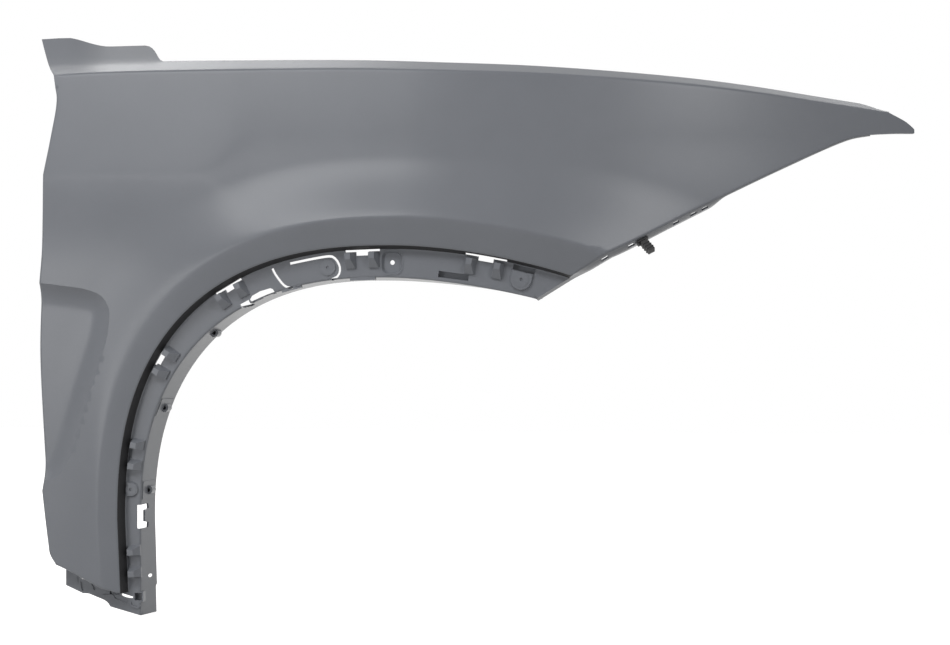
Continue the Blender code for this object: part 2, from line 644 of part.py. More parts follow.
def panel_sheet(lines):
    """The outer face of the whole moulding as one welded sheet."""
    mesh = bmesh.new()
    fill(mesh, lines.skin_loop(), [lines.crease, mid_crease(), lines.scallop], skin_depth, SURFACE_STEP)
    fill(mesh, lines.flange_loop(), [], flange_depth, SURFACE_STEP)
    edge, foot = on_skin(lines.edge), on_flange(lines.foot)
    strip(mesh, [edge, between(edge, foot, 0.5), foot])
    inner = on_flange(lines.inner)
    back = [Vector((x, flange_depth(x, z) + LINER_DEPTH, z)) for x, z in lines.liner]
    strip(mesh, [inner, between(inner, back, 0.5), back])
    bottom, bottom_foot = on_skin(lines.bottom), on_flange(lines.bottom_foot)
    strip(mesh, [bottom, between(bottom, bottom_foot, 0.5), bottom_foot])
    add_ledge(mesh, lines.top)
    add_hem(mesh, lines.rear)
    add_front_return(mesh, lines)
    bmesh.ops.remove_doubles(mesh, verts=mesh.verts, dist=MERGE)
    bmesh.ops.recalc_face_normals(mesh, faces=mesh.faces)
    inboard = sum(f.normal.y * f.calc_area() for f in mesh.faces)
    if inboard > 0.0:
        bmesh.ops.reverse_faces(mesh, faces=mesh.faces)
    return mesh


def flange_frame(angle, across, back=0.0):
    """Frame on the flange: x along the arch, y towards the wheel, z out of the flange."""
    foot = step_foot()
    turn = math.radians(angle)
    x, z = arch_point(foot, turn)
    ahead = arch_point(foot, turn - PROBE_TURN)
    behind = arch_point(foot, turn + PROBE_TURN)
    along = Vector((ahead[0] - behind[0], 0.0, ahead[1] - behind[1])).normalized()
    inward = Vector((along.z, 0.0, -along.x))
    slope = plan_slope(x)
    along = Vector((along.x, slope * along.x, along.z)).normalized()
    inward = Vector((inward.x, slope * inward.x, inward.z)).normalized()
    out = along.cross(inward).normalized()
    if out.y > 0.0:
        out = -out
    place = Vector((x, flange_depth(x, z), z)) + inward * across - out * back
    frame = Matrix((along, inward, out)).transposed().to_4x4()
    frame.translation = place
    return frame


def liner_frame(angle, depth):
    """Frame on the liner return: x along the arch, y inboard, z towards the wheel."""
    turn = math.radians(angle)
    share = depth / LINER_DEPTH
    front = [Vector((p[0], flange_depth(*p), p[1]))
             for p in (arch_point(INNER_EDGE, turn - PROBE_TURN), arch_point(INNER_EDGE, turn + PROBE_TURN))]
    back = [Vector((p[0], flange_depth(*p) + LINER_DEPTH, p[1]))
            for p in (arch_point(LINER_BACK, turn - PROBE_TURN), arch_point(LINER_BACK, turn + PROBE_TURN))]
    place = (front[0] + front[1]).lerp(back[0] + back[1], share) / 2
    along = (front[0] - front[1]).normalized()
    inboard = (back[0] + back[1] - front[0] - front[1]).normalized()
    out = along.cross(inboard).normalized()
    if out.dot(Vector((0.0, 0.0, 0.0)) - Vector((place.x, 0.0, place.z))) < 0.0:
        out = -out
    inboard = out.cross(along) if out.cross(along).y > 0.0 else along.cross(out)
    frame = Matrix((along, inboard, out)).transposed().to_4x4()
    frame.translation = place
    return frame


def foot_frame(z, depth):
    """Frame on the liner return below the wheel centre, at a height."""
    return liner_frame(90.0 + math.degrees(math.atan2(-z, INNER_EDGE.rear)), depth)


def outboard_frame(place, turn):
    """Frame at a place whose z points outboard, turned towards the front by an angle."""
    frame = Matrix.Rotation(turn, 4, "Z") @ side_frame(0.0)
    frame.translation = place
    return frame


def prism(mesh, frame, outline, low, high):
    """A closed prism over an outline in a frame's x-y plane, between two heights."""
    taper(mesh, frame, outline, outline, low, high)


def taper(mesh, frame, outline, top, low, high):
    """A closed body between an outline at one height and one with as many corners above it."""
    area = sum(a[0] * b[1] - b[0] * a[1] for a, b in zip(outline, outline[1:] + outline[:1]))
    handed = frame.to_3x3().determinant()
    if area * handed < 0.0:
        outline, top = outline[::-1], top[::-1]
    base = [mesh.verts.new(frame @ Vector((x, y, low))) for x, y in outline]
    lid = [mesh.verts.new(frame @ Vector((x, y, high))) for x, y in top]
    mesh.faces.new(base[::-1])
    mesh.faces.new(lid)
    for k in range(len(outline)):
        n = (k + 1) % len(outline)
        mesh.faces.new((base[k], base[n], lid[n], lid[k]))


def rectangle(length, width, centre=(0.0, 0.0)):
    x, y = length / 2, width / 2
    return [(centre[0] + sx * x, centre[1] + sy * y) for sx, sy in ((-1, -1), (1, -1), (1, 1), (-1, 1))]


def corners(low, high):
    """A rectangle from its low and high corners."""
    return [low, (high[0], low[1]), high, (low[0], high[1])]


def grown(low, high, rim):
    """A rectangle from its corners, larger all round by a rim."""
    return corners((low[0] - rim, low[1] - rim), (high[0] + rim, high[1] + rim))


def circle(radius, sides=16):
    return [(radius * math.cos(2 * math.pi * k / sides), radius * math.sin(2 * math.pi * k / sides))
            for k in range(sides)]


def d_shape(radius, straight, steps=12):
    """A half disc with straight sides, which end at its flat edge on the step's side."""
    bow = [(radius * math.cos(math.pi * k / steps), radius * math.sin(math.pi * k / steps))
           for k in range(steps + 1)]
    return [(radius, -straight)] + bow + [(-radius, -straight)]


def rounded(length, width, radius, steps=3):
    """A rectangle with rounded corners."""
    points = []
    for quarter, (sx, sy) in enumerate(((1, 1), (-1, 1), (-1, -1), (1, -1))):
        for k in range(steps + 1):
            turn = math.pi / 2 * (quarter + k / steps)
            points.append((sx * (length / 2 - radius) + radius * math.cos(turn),
                           sy * (width / 2 - radius) + radius * math.sin(turn)))
    return points


def wedge(mesh, frame, profile, width):
    """A closed body over a profile in the frame's y-z plane, whose two sides lean in as it rises."""
    area = sum(a[0] * b[1] - b[0] * a[1] for a, b in zip(profile, profile[1:] + profile[:1]))
    if area * frame.to_3x3().determinant() < 0.0:
        profile = profile[::-1]
    root = min(z for _, z in profile)
    half = width / 2
    rear = [mesh.verts.new(frame @ Vector((CLEAT_LEAN_REAR * (z - root) - half, y, z))) for y, z in profile]
    front = [mesh.verts.new(frame @ Vector((half - CLEAT_LEAN_FRONT * (z - root), y, z)))
             for y, z in profile]
    mesh.faces.new(rear[::-1])
    mesh.faces.new(front)
    for k in range(len(profile)):
        n = (k + 1) % len(profile)
        mesh.faces.new((rear[k], rear[n], front[n], front[k]))


def leg_share(pair):
    """Zero for a pair of cleats over the wheel, one for a pair down the leg."""
    return smooth((pair.rear - LEG_START) / LEG_START)


def add_cleats(adders):
    """Ramped cleats in pairs, which the cladding slides under."""
    root = -WALL / 2
    for pair in CLEAT_PAIRS:
        length = mix(CLEAT_LENGTH, CLEAT_LENGTH_LEG, leg_share(pair))
        profile = [(0.0, root), (0.0, CLEAT_HEIGHT), (CLEAT_NOSE, CLEAT_HEIGHT), (length, CLEAT_TOE),
                   (length, root)]
        start = max(pair.start, 0.0) + SLIT_WIDTH + CLEAT_GAP
        for angle in (pair.rear, pair.front):
            wedge(adders, flange_frame(angle, start), profile, CLEAT_WIDTH)


def notch_floor(pair):
    """How far across the flange the notch between a pair's cleats reaches."""
    return pair.start + mix(NOTCH_DEPTH, NOTCH_DEPTH_LEG, leg_share(pair))


def cut_cleat_slots(cutters):
    """A slit along the foot of the step with a deeper notch between the two cleats."""
    for pair in CLEAT_PAIRS:
        middle = flange_frame((pair.rear + pair.front) / 2, 0.0)
        slit, notch, floor = pair.slit / 2, pair.notch / 2, notch_floor(pair)
        top, mouth = pair.start, pair.start + SLIT_WIDTH
        outline = [(-slit, top), (slit, top), (slit, mouth), (notch, mouth),
                   (notch, floor), (-notch, floor), (-notch, mouth), (-slit, mouth)]
        bottom = POCKET_FLOOR - SLIT_POCKET_DEPTH if pair.rear > BLIND_FROM else -CUT_REACH
        prism(cutters, middle, outline, bottom, CUT_REACH)


def ribbon(path, width):
    """Outline of a constant-width band along a path."""
    left, right = [], []
    for k, p in enumerate(path):
        before, after = Vector(path[max(k - 1, 0)]), Vector(path[min(k + 1, len(path) - 1)])
        along = (after - before).normalized()
        side = Vector((-along.y, along.x)) * (width / 2)
        left.append(tuple(Vector(p) + side))
        right.append(tuple(Vector(p) - side))
    return left + right[::-1]


def flange_path(places):
    """A smooth path through places on the flange, in the X-Z plane."""
    points = [flange_frame(angle, across).translation for angle, across in places]
    return spline([(p.x, p.z) for p in points], PATH_STEP)


def side_frame(depth):
    """Frame whose x and y are the part's X and Z, and whose z points outboard."""
    return Matrix(((1, 0, 0, 0), (0, 0, -1, depth), (0, 1, 0, 0), (0, 0, 0, 1)))


def cut_flange(cutters):
    """Slits, windows and recesses of the flange."""
    middle = side_frame(flange_frame(*TONGUE_BOSS).translation.y)
    for path in (TONGUE_UPPER, TONGUE_LEFT):
        prism(cutters, middle, ribbon(flange_path(path), TONGUE_SLIT), -CUT_REACH, CUT_REACH)
    prism(cutters, middle, ribbon(flange_path(TONGUE_GROOVE), TONGUE_GROOVE_WIDTH),
          -TONGUE_GROOVE_DEPTH, CUT_REACH)
    taper(cutters, flange_frame(*CUP_PLACE), cup_outline(-CUP_DEPTH), cup_outline(CUT_REACH / 2),
          -CUP_DEPTH, CUT_REACH / 2)
    for place, size in POCKETS:
        prism(cutters, flange_frame(*place), rectangle(*size), POCKET_FLOOR - POCKET_DEPTH, CUT_REACH)
    prism(cutters, side_frame(flange_depth(*SHOULDER_WINDOW[0])), SHOULDER_WINDOW, -CUT_REACH, CUT_REACH)
    prism(cutters, side_frame(flange_depth(*LEG_WINDOW[0])), LEG_WINDOW, -CUT_REACH, CUT_REACH / 2)
    cut_bracket(cutters)


def cut_bracket(cutters):
    """Windows, grooves and blind pockets of the bracket."""
    for window in BRACKET_WINDOWS:
        prism(cutters, side_frame(flange_depth(*window[0])), window, -CUT_REACH, CUT_REACH)
    for groove in BRACKET_GROOVES:
        prism(cutters, side_frame(flange_depth(*groove[0])), groove, -BRACKET_GROOVE_DEPTH, CUT_REACH)
    for pocket, depth in ((FOOT_POCKET, POCKET_DEPTH), (LIP_POCKET, LIP_POCKET_DEPTH)):
        frame = side_frame(flange_depth(*pocket[0]))
        prism(cutters, frame, corners(*pocket), POCKET_FLOOR - depth, CUT_REACH)


def add_patches(adders):
    """Thin raised patches on the liner return under its two lower bosses."""
    for angle in LINER_PATCHES:
        frame = liner_frame(angle, LINER_DEPTH / 2)
        prism(adders, frame, rectangle(*LINER_PATCH), -WALL / 2, LINER_PATCH_RISE)


def add_pockets(adders):
    """Blind boxes behind the flange for the slots that aren't open right through."""
    for place, size in POCKETS:
        outline = rectangle(size[0] + 2 * POCKET_FLOOR, size[1] + 2 * POCKET_FLOOR)
        prism(adders, flange_frame(*place), outline, -POCKET_DEPTH, -WALL / 3)
    for pocket, depth in ((FOOT_POCKET, POCKET_DEPTH), (LIP_POCKET, LIP_POCKET_DEPTH)):
        prism(adders, side_frame(flange_depth(*pocket[0])), grown(*pocket, POCKET_FLOOR), -depth, -WALL / 3)
    for pair in CLEAT_PAIRS:
        if pair.rear > BLIND_FROM:
            floor = notch_floor(pair)
            outline = rectangle(pair.slit + 2 * POCKET_FLOOR, floor + 2 * POCKET_FLOOR, (0.0, floor / 2))
            frame = flange_frame((pair.rear + pair.front) / 2, 0.0)
            prism(adders, frame, outline, -SLIT_POCKET_DEPTH, -WALL / 3)


def add_sill_pad(adders):
    """The flat pad at the rear end of the bracket, which is screwed to the sill."""
    prism(adders, side_frame(flange_depth(*SILL_PAD[0])), corners(*SILL_PAD), -WALL / 2, SILL_PAD_HEIGHT)


def add_ridges(adders):
    """The raised U-shaped ridges on the lip of the bracket."""
    for path in RIDGES:
        frame = side_frame(flange_depth(*path[0]))
        prism(adders, frame, ribbon(path, RIDGE_WIDTH), -WALL / 2, RIDGE_RISE)


def add_bosses(pockets, adders, cutters):
    """The tongue's round boss and the two sloped pads, each with a disc and a dimple at its centre."""
    boss = flange_frame(*TONGUE_BOSS)
    prism(adders, boss, circle(TONGUE_BOSS_RADIUS, DISC_SIDES), -WALL / 2, BOSS_HEIGHT)
    prism(cutters, boss, circle(DIMPLE_RADIUS, HOLE_SIDES), BOSS_HEIGHT - DIMPLE_DEPTH, CUT_REACH)
    for place, radius, straight in ((NOSE_PAD, NOSE_PAD_RADIUS, NOSE_PAD_STRAIGHT),
                                    (LEG_PAD, LEG_PAD_RADIUS, LEG_PAD_STRAIGHT)):
        frame = flange_frame(*place)
        taper(adders, frame, d_shape(radius, straight), d_shape(radius - PAD_DRAFT, straight),
              -WALL / 2, PAD_RISE)
        prism(pockets, frame, circle(radius * PAD_DISC, DISC_SIDES), -WALL / 4, PAD_RISE + PAD_DISC_RISE)
        prism(cutters, frame, circle(DIMPLE_RADIUS, HOLE_SIDES), PAD_RISE - DIMPLE_DEPTH, CUT_REACH)


def cup_outline(height):
    """Outline of the cup's sloped wall at a height above the flange."""
    spread = CUP_SLOPE * (height - CUP_RIM)
    return rounded(CUP_SIZE[0] + 2 * spread, CUP_SIZE[1] + 2 * spread, CUP_CORNER + spread)


def add_cup(pockets, adders):
    """The cup's body behind the flange and the thin rim around its mouth."""
    frame = flange_frame(*CUP_PLACE)
    length, width = CUP_SIZE
    prism(pockets, frame, rounded(length, width, CUP_CORNER), -CUP_DEPTH - POCKET_FLOOR, -WALL / 3)
    rim = CUP_RIM_WIDTH
    prism(adders, frame, rounded(length + 2 * rim, width + 2 * rim, CUP_CORNER + rim), -WALL / 2, CUP_RIM)


def cut_through(cutters):
    """The cup's hole, and the parts of two windows that lie in the liner return."""
    prism(cutters, flange_frame(*CUP_PLACE), circle(CUP_HOLE_RADIUS), -CUT_REACH, CUT_REACH)
    prism(cutters, liner_frame(LEG_WINDOW_ANGLE, 0.0), LEG_WINDOW_CUT, -2 * WALL, 2 * WALL)
    prism(cutters, liner_frame(SHOULDER_WINDOW_ANGLE, 0.0), SHOULDER_WINDOW_CUT, -2 * WALL, 2 * WALL)


def add_liner_features(adders, cutters):
    """Fixing bosses on the liner return, the hole at its foot and the tabs on its front rim."""
    for angle in LINER_BOSSES:
        frame = outboard_frame(liner_frame(angle, LINER_BOSS_DEPTH).translation, 0.0)
        prism(adders, frame, circle(LINER_BOSS_RADIUS, DISC_SIDES), -LINER_BOSS_ROOT, LINER_BOSS_FRONT)
        prism(cutters, frame, circle(LINER_BOSS_HOLE, HOLE_SIDES),
              LINER_BOSS_FRONT - LINER_BOSS_HOLE_DEPTH, LINER_BOSS_FRONT + WALL)
    frame = outboard_frame(foot_frame(FOOT_HOLE_Z, LINER_BOSS_DEPTH).translation, FOOT_HOLE_TURN)
    prism(cutters, frame, circle(FOOT_HOLE_RADIUS, HOLE_SIDES), -FOOT_HOLE_REACH, FOOT_HOLE_REACH)
    far, end = LINER_DEPTH + CUT_REACH - FOOT_STEP_DEPTH, FOOT_STEP_Z - CORNER_BOTTOM + CUT_REACH
    outline = [(0.0, FOOT_STEP_CORNER), (FOOT_STEP_CORNER, 0.0), (far, 0.0), (far, end), (0.0, end)]
    frame = foot_frame(FOOT_STEP_Z, FOOT_STEP_DEPTH)
    downward = -1.0 if frame.col[0].z > 0.0 else 1.0
    prism(cutters, frame, [(downward * y, x) for x, y in outline], -CUT_REACH, CUT_REACH)
    for angle, length in RIM_TABS:
        frame = liner_frame(angle, RIM_TAB_DEPTH / 2)
        prism(adders, frame, rectangle(length, RIM_TAB_DEPTH - WALL / 2), -WALL / 2, RIM_TAB_HEIGHT)


def rail_place(x, lines):
    """Middle of the bonnet rail's upper face at this length."""
    z = float(np.interp(x, [p[0] for p in lines.top[::-1]], [p[1] for p in lines.top[::-1]]))
    brow = ledge_point(x, z, ledge_width(x))
    return brow + Vector((0.0, RAIL_DRAFT + RAIL_WIDTH / 2, -RAIL_DROP))


def pad_frame(x, lines):
    """Level frame on a pad's top, x along the rail."""
    slope = plan_slope(x)
    along = Vector((1.0, slope, 0.0)).normalized()
    side = Vector((-slope, 1.0, 0.0)).normalized()
    frame = Matrix((along, side, Vector((0.0, 0.0, 1.0)))).transposed().to_4x4()
    frame.translation = rail_place(x, lines) + Vector((0.0, 0.0, PAD_HEIGHT))
    return frame


def add_rail_pads(adders, cutters, lines):
    """Flat pads with a slotted hole, where the panel bolts to the body."""
    for x in PAD_PLACES:
        frame = pad_frame(x, lines)
        prism(adders, frame, rectangle(PAD_LENGTH, PAD_WIDTH), -PAD_HEIGHT - WALL / 2, 0.0)
        prism(cutters, frame, rounded(PAD_SLOT_LENGTH, PAD_SLOT_WIDTH, PAD_SLOT_CORNER),
              -3 * CUT_REACH, CUT_REACH)


def return_frame(x, lines):
    """Frame on the front return's outer face: x along the edge, y away from the panel, z outboard."""
    fronts = [p for p in lines.front if p[0] <= FRONT_HEM_END]
    z = float(np.interp(x, [p[0] for p in fronts], [p[1] for p in fronts]))
    rows = return_rows(lines, [(x - PROBE_STEP, z), (x, z), (x + PROBE_STEP, z)])
    high, low = rows[1][1], rows[2][1]
    k = min(range(len(fronts) - 1), key=lambda i: abs((fronts[i][0] + fronts[i + 1][0]) / 2 - x))
    near, far = return_rows(lines, [fronts[k], fronts[k + 1]])[2]
    along = (far - near).normalized()
    inboard = (low - high).normalized()
    away = inboard.cross(along).normalized()
    if away.z > 0.0:
        away = -away
    outboard = along.cross(away)
    frame = Matrix((along, away, outboard)).transposed().to_4x4()
    frame.translation = high.lerp(low, 0.5)
    return frame


def box(mesh, frame, size, centre):
    """A box in a frame."""
    outline = rectangle(size[0], size[1], (centre[0], centre[1]))
    prism(mesh, frame, outline, centre[2] - size[2] / 2, centre[2] + size[2] / 2)


def cut_front_return(cutters, lines):
    """Slots for the bumper's hooks and the square hole of the clip."""
    for x in RETURN_SLOTS:
        size = (RETURN_SLOT_SIZE[0], 4 * WALL, RETURN_SLOT_SIZE[1])
        box(cutters, return_frame(x, lines), size, (0.0, 0.0, 0.0))
    hole = (CLIP_NECK[0] + 2 * CLEARANCE, 6 * WALL, CLIP_NECK[1] + 2 * CLEARANCE)
    box(cutters, return_frame(CLIP_PLACE, lines), hole, (0.0, 0.0, 0.0))


def boxes_object(name, boxes, frame, material):
    """A body made of overlapping boxes joined by Booleans."""
    pieces = []
    for k, (size, centre) in enumerate(boxes):
        mesh = bmesh.new()
        box(mesh, frame, size, centre)
        piece = new_object(name if k == 0 else f"{name}_tool_{k}", mesh, material)
        pieces.append(piece)
    for tool in pieces[1:]:
        join(pieces[0], tool, "UNION")
    return pieces[0]


def material(name, colour, roughness, metallic=0.0):
    made = bpy.data.materials.new(name)
    made.use_nodes = True
    shader = made.node_tree.nodes["Principled BSDF"]
    shader.inputs["Base Color"].default_value = (*colour, 1.0)
    shader.inputs["Roughness"].default_value = roughness
    shader.inputs["Metallic"].default_value = metallic
    return made


def new_object(name, mesh, finish):
    data = bpy.data.meshes.new(name)
    mesh.to_mesh(data)
    mesh.free()
    made = bpy.data.objects.new(name, data)
    bpy.context.scene.collection.objects.link(made)
    if finish:
        data.materials.append(finish)
    return made


def join(target, tool, operation):
    """Give the target an exact Boolean with a hidden tool."""
    modifier = target.modifiers.new(tool.name, "BOOLEAN")
    modifier.operation = operation
    modifier.object = tool
    modifier.solver = "EXACT"
    tool.hide_render = True
    tool.display_type = "WIRE"


def build_panel(lines, finish):
    panel = new_object("fender_panel", panel_sheet(lines), finish)
    shell = panel.modifiers.new("wall", "SOLIDIFY")
    shell.thickness = WALL
    shell.offset = -1.0
    shell.use_even_offset = True
    shell.use_quality_normals = True
    adders, pockets, cutters, deep_cutters = (bmesh.new() for _ in range(4))
    add_cleats(adders)
    add_pockets(pockets)
    add_patches(pockets)
    add_cup(pockets, adders)
    add_sill_pad(adders)
    add_ridges(adders)
    cut_through(deep_cutters)
    add_bosses(pockets, adders, cutters)
    add_liner_features(adders, cutters)
    add_rail_pads(adders, cutters, lines)
    cut_cleat_slots(cutters)
    cut_flange(cutters)
    cut_front_return(cutters, lines)
    join(panel, new_object("panel_pockets", pockets, None), "UNION")
    join(panel, new_object("panel_added_forms", adders, None), "UNION")
    join(panel, new_object("panel_open_spaces", cutters, None), "DIFFERENCE")
    join(panel, new_object("panel_deep_spaces", deep_cutters, None), "DIFFERENCE")
    return panel


def build_clip(lines, finish):
    """The clip: head on the return's outer face, neck through its wall, barb behind, ribbed peg in front."""
    frame = return_frame(CLIP_PLACE, lines)
    head_top = CLIP_SEAT + CLIP_HEAD[1]
    barb_top = -WALL - BARB_GAP
    neck = (CLIP_NECK[0], head_top - barb_top + WALL, CLIP_NECK[1])
    boxes = [(CLIP_HEAD, (0.0, CLIP_SEAT + CLIP_HEAD[1] / 2, 0.0)),
             (neck, (0.0, (head_top + barb_top - WALL) / 2, 0.0)),
             (CLIP_BARB, (0.0, barb_top - CLIP_BARB[1] / 2, 0.0)),
             (CLIP_SHANK, (0.0, head_top - WALL / 2 + CLIP_SHANK[1] / 2, 0.0))]
    boxes += [(CLIP_RIB, (0.0, head_top + place, 0.0)) for place in CLIP_RIBS]
    return boxes_object("bumper_guide_clip", boxes, frame, finish)


def main():
    for old in list(bpy.data.objects):
        bpy.data.objects.remove(old)
    lines = Outlines()
    primer = material("grey_primer", (0.19, 0.20, 0.21), 0.45)
    black = material("black_plastic", (0.012, 0.012, 0.013), 0.5)
    pieces = [build_panel(lines, primer), build_clip(lines, black)]
    land = (PAD_LENGTH + PAD_SLOT_LENGTH) / 4
    origin = pad_frame(PAD_PLACES[len(PAD_PLACES) // 2], lines) @ Vector((land, 0.0, 0.0))
    for made in bpy.data.objects:
        made.location = -origin
    for piece in pieces:
        piece.data.shade_smooth()


main()
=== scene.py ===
"""The dressed fender: the same outlines as the solid part, with fine surfaces, rounded
edges, procedural primer and plastic, a pale floor, soft light and the photo's camera."""

import json
import math
from collections import namedtuple

import bmesh
import bpy
import numpy as np
from mathutils import Matrix, Vector
from mathutils.geometry import delaunay_2d_cdt

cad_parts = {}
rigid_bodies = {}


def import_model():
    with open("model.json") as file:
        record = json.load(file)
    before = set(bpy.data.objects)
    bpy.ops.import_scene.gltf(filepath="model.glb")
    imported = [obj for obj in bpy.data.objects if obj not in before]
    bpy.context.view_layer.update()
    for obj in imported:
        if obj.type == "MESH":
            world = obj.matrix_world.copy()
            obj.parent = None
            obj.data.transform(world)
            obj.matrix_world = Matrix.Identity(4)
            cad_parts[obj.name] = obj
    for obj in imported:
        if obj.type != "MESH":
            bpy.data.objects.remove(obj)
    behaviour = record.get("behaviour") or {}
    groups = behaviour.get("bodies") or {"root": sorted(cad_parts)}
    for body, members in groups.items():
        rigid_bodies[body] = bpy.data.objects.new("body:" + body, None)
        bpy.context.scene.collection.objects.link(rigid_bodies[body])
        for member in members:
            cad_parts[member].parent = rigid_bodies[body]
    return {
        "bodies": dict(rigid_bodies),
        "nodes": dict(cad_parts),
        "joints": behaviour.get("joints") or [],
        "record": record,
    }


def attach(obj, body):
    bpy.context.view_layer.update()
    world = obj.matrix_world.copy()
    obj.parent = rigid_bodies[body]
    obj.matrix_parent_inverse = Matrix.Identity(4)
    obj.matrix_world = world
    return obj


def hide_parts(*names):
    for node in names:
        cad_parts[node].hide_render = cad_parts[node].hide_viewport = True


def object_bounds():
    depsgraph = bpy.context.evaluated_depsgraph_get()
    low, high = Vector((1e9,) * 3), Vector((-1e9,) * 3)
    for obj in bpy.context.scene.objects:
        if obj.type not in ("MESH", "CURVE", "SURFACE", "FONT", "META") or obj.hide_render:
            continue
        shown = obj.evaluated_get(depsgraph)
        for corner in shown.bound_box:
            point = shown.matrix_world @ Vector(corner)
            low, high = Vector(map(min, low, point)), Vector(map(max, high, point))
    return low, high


# Moulding
WALL = 0.0030
SURFACE_STEP = 0.0049
FLANGE_STEP = SURFACE_STEP * 1.5
TIP_STEP = SURFACE_STEP / 3
LIP_STEP = SURFACE_STEP * 0.7
ARCH_STEPS = 160
LEG_STEPS = 20
MERGE = 0.00002
CURVE_STEPS = 24
HALVINGS = 60
ROW_SHARE = math.sqrt(3) / 2
CLEAR_SHARE = 0.55
FILL_LIMIT = 1e-7
TINY = 1e-6
PROBE_TURN = 0.01
PROBE_STEP = 0.001
DISC_SIDES = 48
HOLE_SIDES = 32
D_STEPS = 24
CORNER_STEPS = 8
MIDDLE = (0.0, 0.0, 0.0)

# How deep added forms and the boxes behind slots are rooted in the wall
ROOT = -WALL / 2
POCKET_ROOT = -WALL / 3

# Plan view of the body side: reach ahead of and behind the wheel centre, and how far inboard it is there
PLAN_NOSE = (0.715, 0.200)
PLAN_TAIL = (0.506, 0.010)

# Wheel arch curves: centre offset, height, rear and front half lengths, powers, leg taper
Arch = namedtuple("Arch", "centre height rear front rear_power front_power taper")
FLARE_CREASE = Arch(0.010, 0.440, 0.4515, 0.719, 2.48, 1.78, 0.055)
SKIN_EDGE = Arch(-0.0066, 0.399, 0.4059, 0.653, 2.47, 1.80, 0.045)
INNER_EDGE = Arch(-0.0188, 0.3535, 0.3655, 0.690, 2.39, 1.69, 0.0)
LINER_BACK = Arch(-0.0309, 0.3500, 0.3486, 0.686, 2.36, 1.83, 0.03)
STEP_DRAFT = 0.0045
FLANGE_INSET = 0.030
LINER_DEPTH = 0.056
LEG_BOTTOM = -0.107
CORNER_BOTTOM = -0.141

# Front cut, where the bumper and the headlamp meet the panel
CUT_LOW = (0.201, 0.3225)
CUT_HIGH = (0.302, 0.3865)
FRONT_LINE = [(0.352, 0.4120), (0.445, 0.4622), (0.541, 0.5117), (0.625, 0.5527),
              (0.661, 0.5633), (0.698, 0.5672)]
NOSE_TIP = [(0.7325, 0.5684), (0.7357, 0.5718), (0.727, 0.581), (0.717, 0.5882), (0.6966, 0.5988)]
TOP_LINE = [(0.600, 0.6115), (0.484, 0.627), (0.371, 0.638), (0.201, 0.649), (0.057, 0.6545),
            (-0.092, 0.6595), (-0.304, 0.661), (-0.448, 0.6605)]
TOP_REAR = (-0.532, 0.658)
REAR_UPPER = [(-0.525, 0.618), (-0.5295, 0.567)]
CREASE_START = (-0.537, 0.508)
REAR_MIDDLE = [(-0.5335, 0.450), (-0.5325, 0.395)]
SCALLOP_TOP = (-0.536, 0.347)
REAR_LOWER = [(-0.5387, 0.245), (-0.533, 0.130)]
SCALLOP_FOOT = (-0.528, 0.057)
REAR_KINK = (-0.531, 0.041)
REAR_FOOT = [(-0.5245, -0.012), (-0.5185, -0.049)]
BOTTOM_REAR = (-0.508, -0.067)
BOTTOM_CREASE_Z = -0.1005

# Depth of the skin: flare, its sweep and the band's slope at the top, the leg and the nose; where the
# flare's crease is soft, its radius, the angle and the spread; where the mid crease starts to fade and
# over what length
FLARE = (0.014, 0.010, 0.022)
SWEEP = (0.090, 0.110, 0.130)
BAND_SLOPE = (0.34, 0.22)
CREASE_RADIUS = 0.0025
CREASE_SOFT = (0.022, math.radians(55), math.radians(18))
CREASE_BESIDE = (-0.0042, -0.0016, 0.0016, 0.0042)
BESIDE_SHORT = 4
VALLEY_HEIGHT = 0.5005
VALLEY_RISE = 0.0075
HAUNCH = 0.018
HAUNCH_DROP = 0.150
TUMBLEHOME = 0.23
VALLEY_SHARP = 0.003
VALLEY_SOFT = 0.060
VALLEY_FADE = (-0.200, 0.100)

# Scallop pressed into the rear of the door side
SCALLOP_LIP = [(-0.506, 0.3435), (-0.466, 0.338), (-0.441, 0.329), (-0.430, 0.316), (-0.4255, 0.300),
               (-0.430, 0.262), (-0.450, 0.199), (-0.473, 0.125), (-0.483, 0.097), (-0.499, 0.070),
               (-0.514, 0.058)]
SCALLOP_DEPTH = 0.012
SCALLOP_RUN = 0.034

# Ledge along the bonnet and the ear at its rear end: its lean over a length, its lift from a start
LEDGE_SHARES = (0.3, 0.45, 0.6, 0.75, 0.88, 1.0)
LEDGE_WIDTH = 0.043
LEDGE_NOSE_WIDTH = 0.0195
LEDGE_TAPER = (-0.360, 0.650)
LEDGE_TIP_WIDTH = 0.004
LEDGE_TIP_LENGTH = 0.045
LEDGE_SLOPE = 0.44
EAR_WIDTH = 0.095
EAR_FRONT = -0.3735
EAR_BLEND = 0.036
EAR_STEEPER = 0.585
EAR_LEAN = (0.56, 0.130)
EAR_LIFT = (0.016, -0.444, 0.050)

# Bonnet rail under the ledge and its pads, each with a slot of a length, width and corner radius
RAIL_ENDS = (-0.375, 0.530)
RAIL_DROP = 0.016
RAIL_DRAFT = 0.002
RAIL_WIDTH = 0.024
PAD_SIZE = (0.038, 0.020)
PAD_HEIGHT = 0.0035
PAD_SLOT = (0.016, 0.0075, 0.0036)
PAD_PLACES = [-0.300, -0.110, 0.080, 0.270, 0.440]

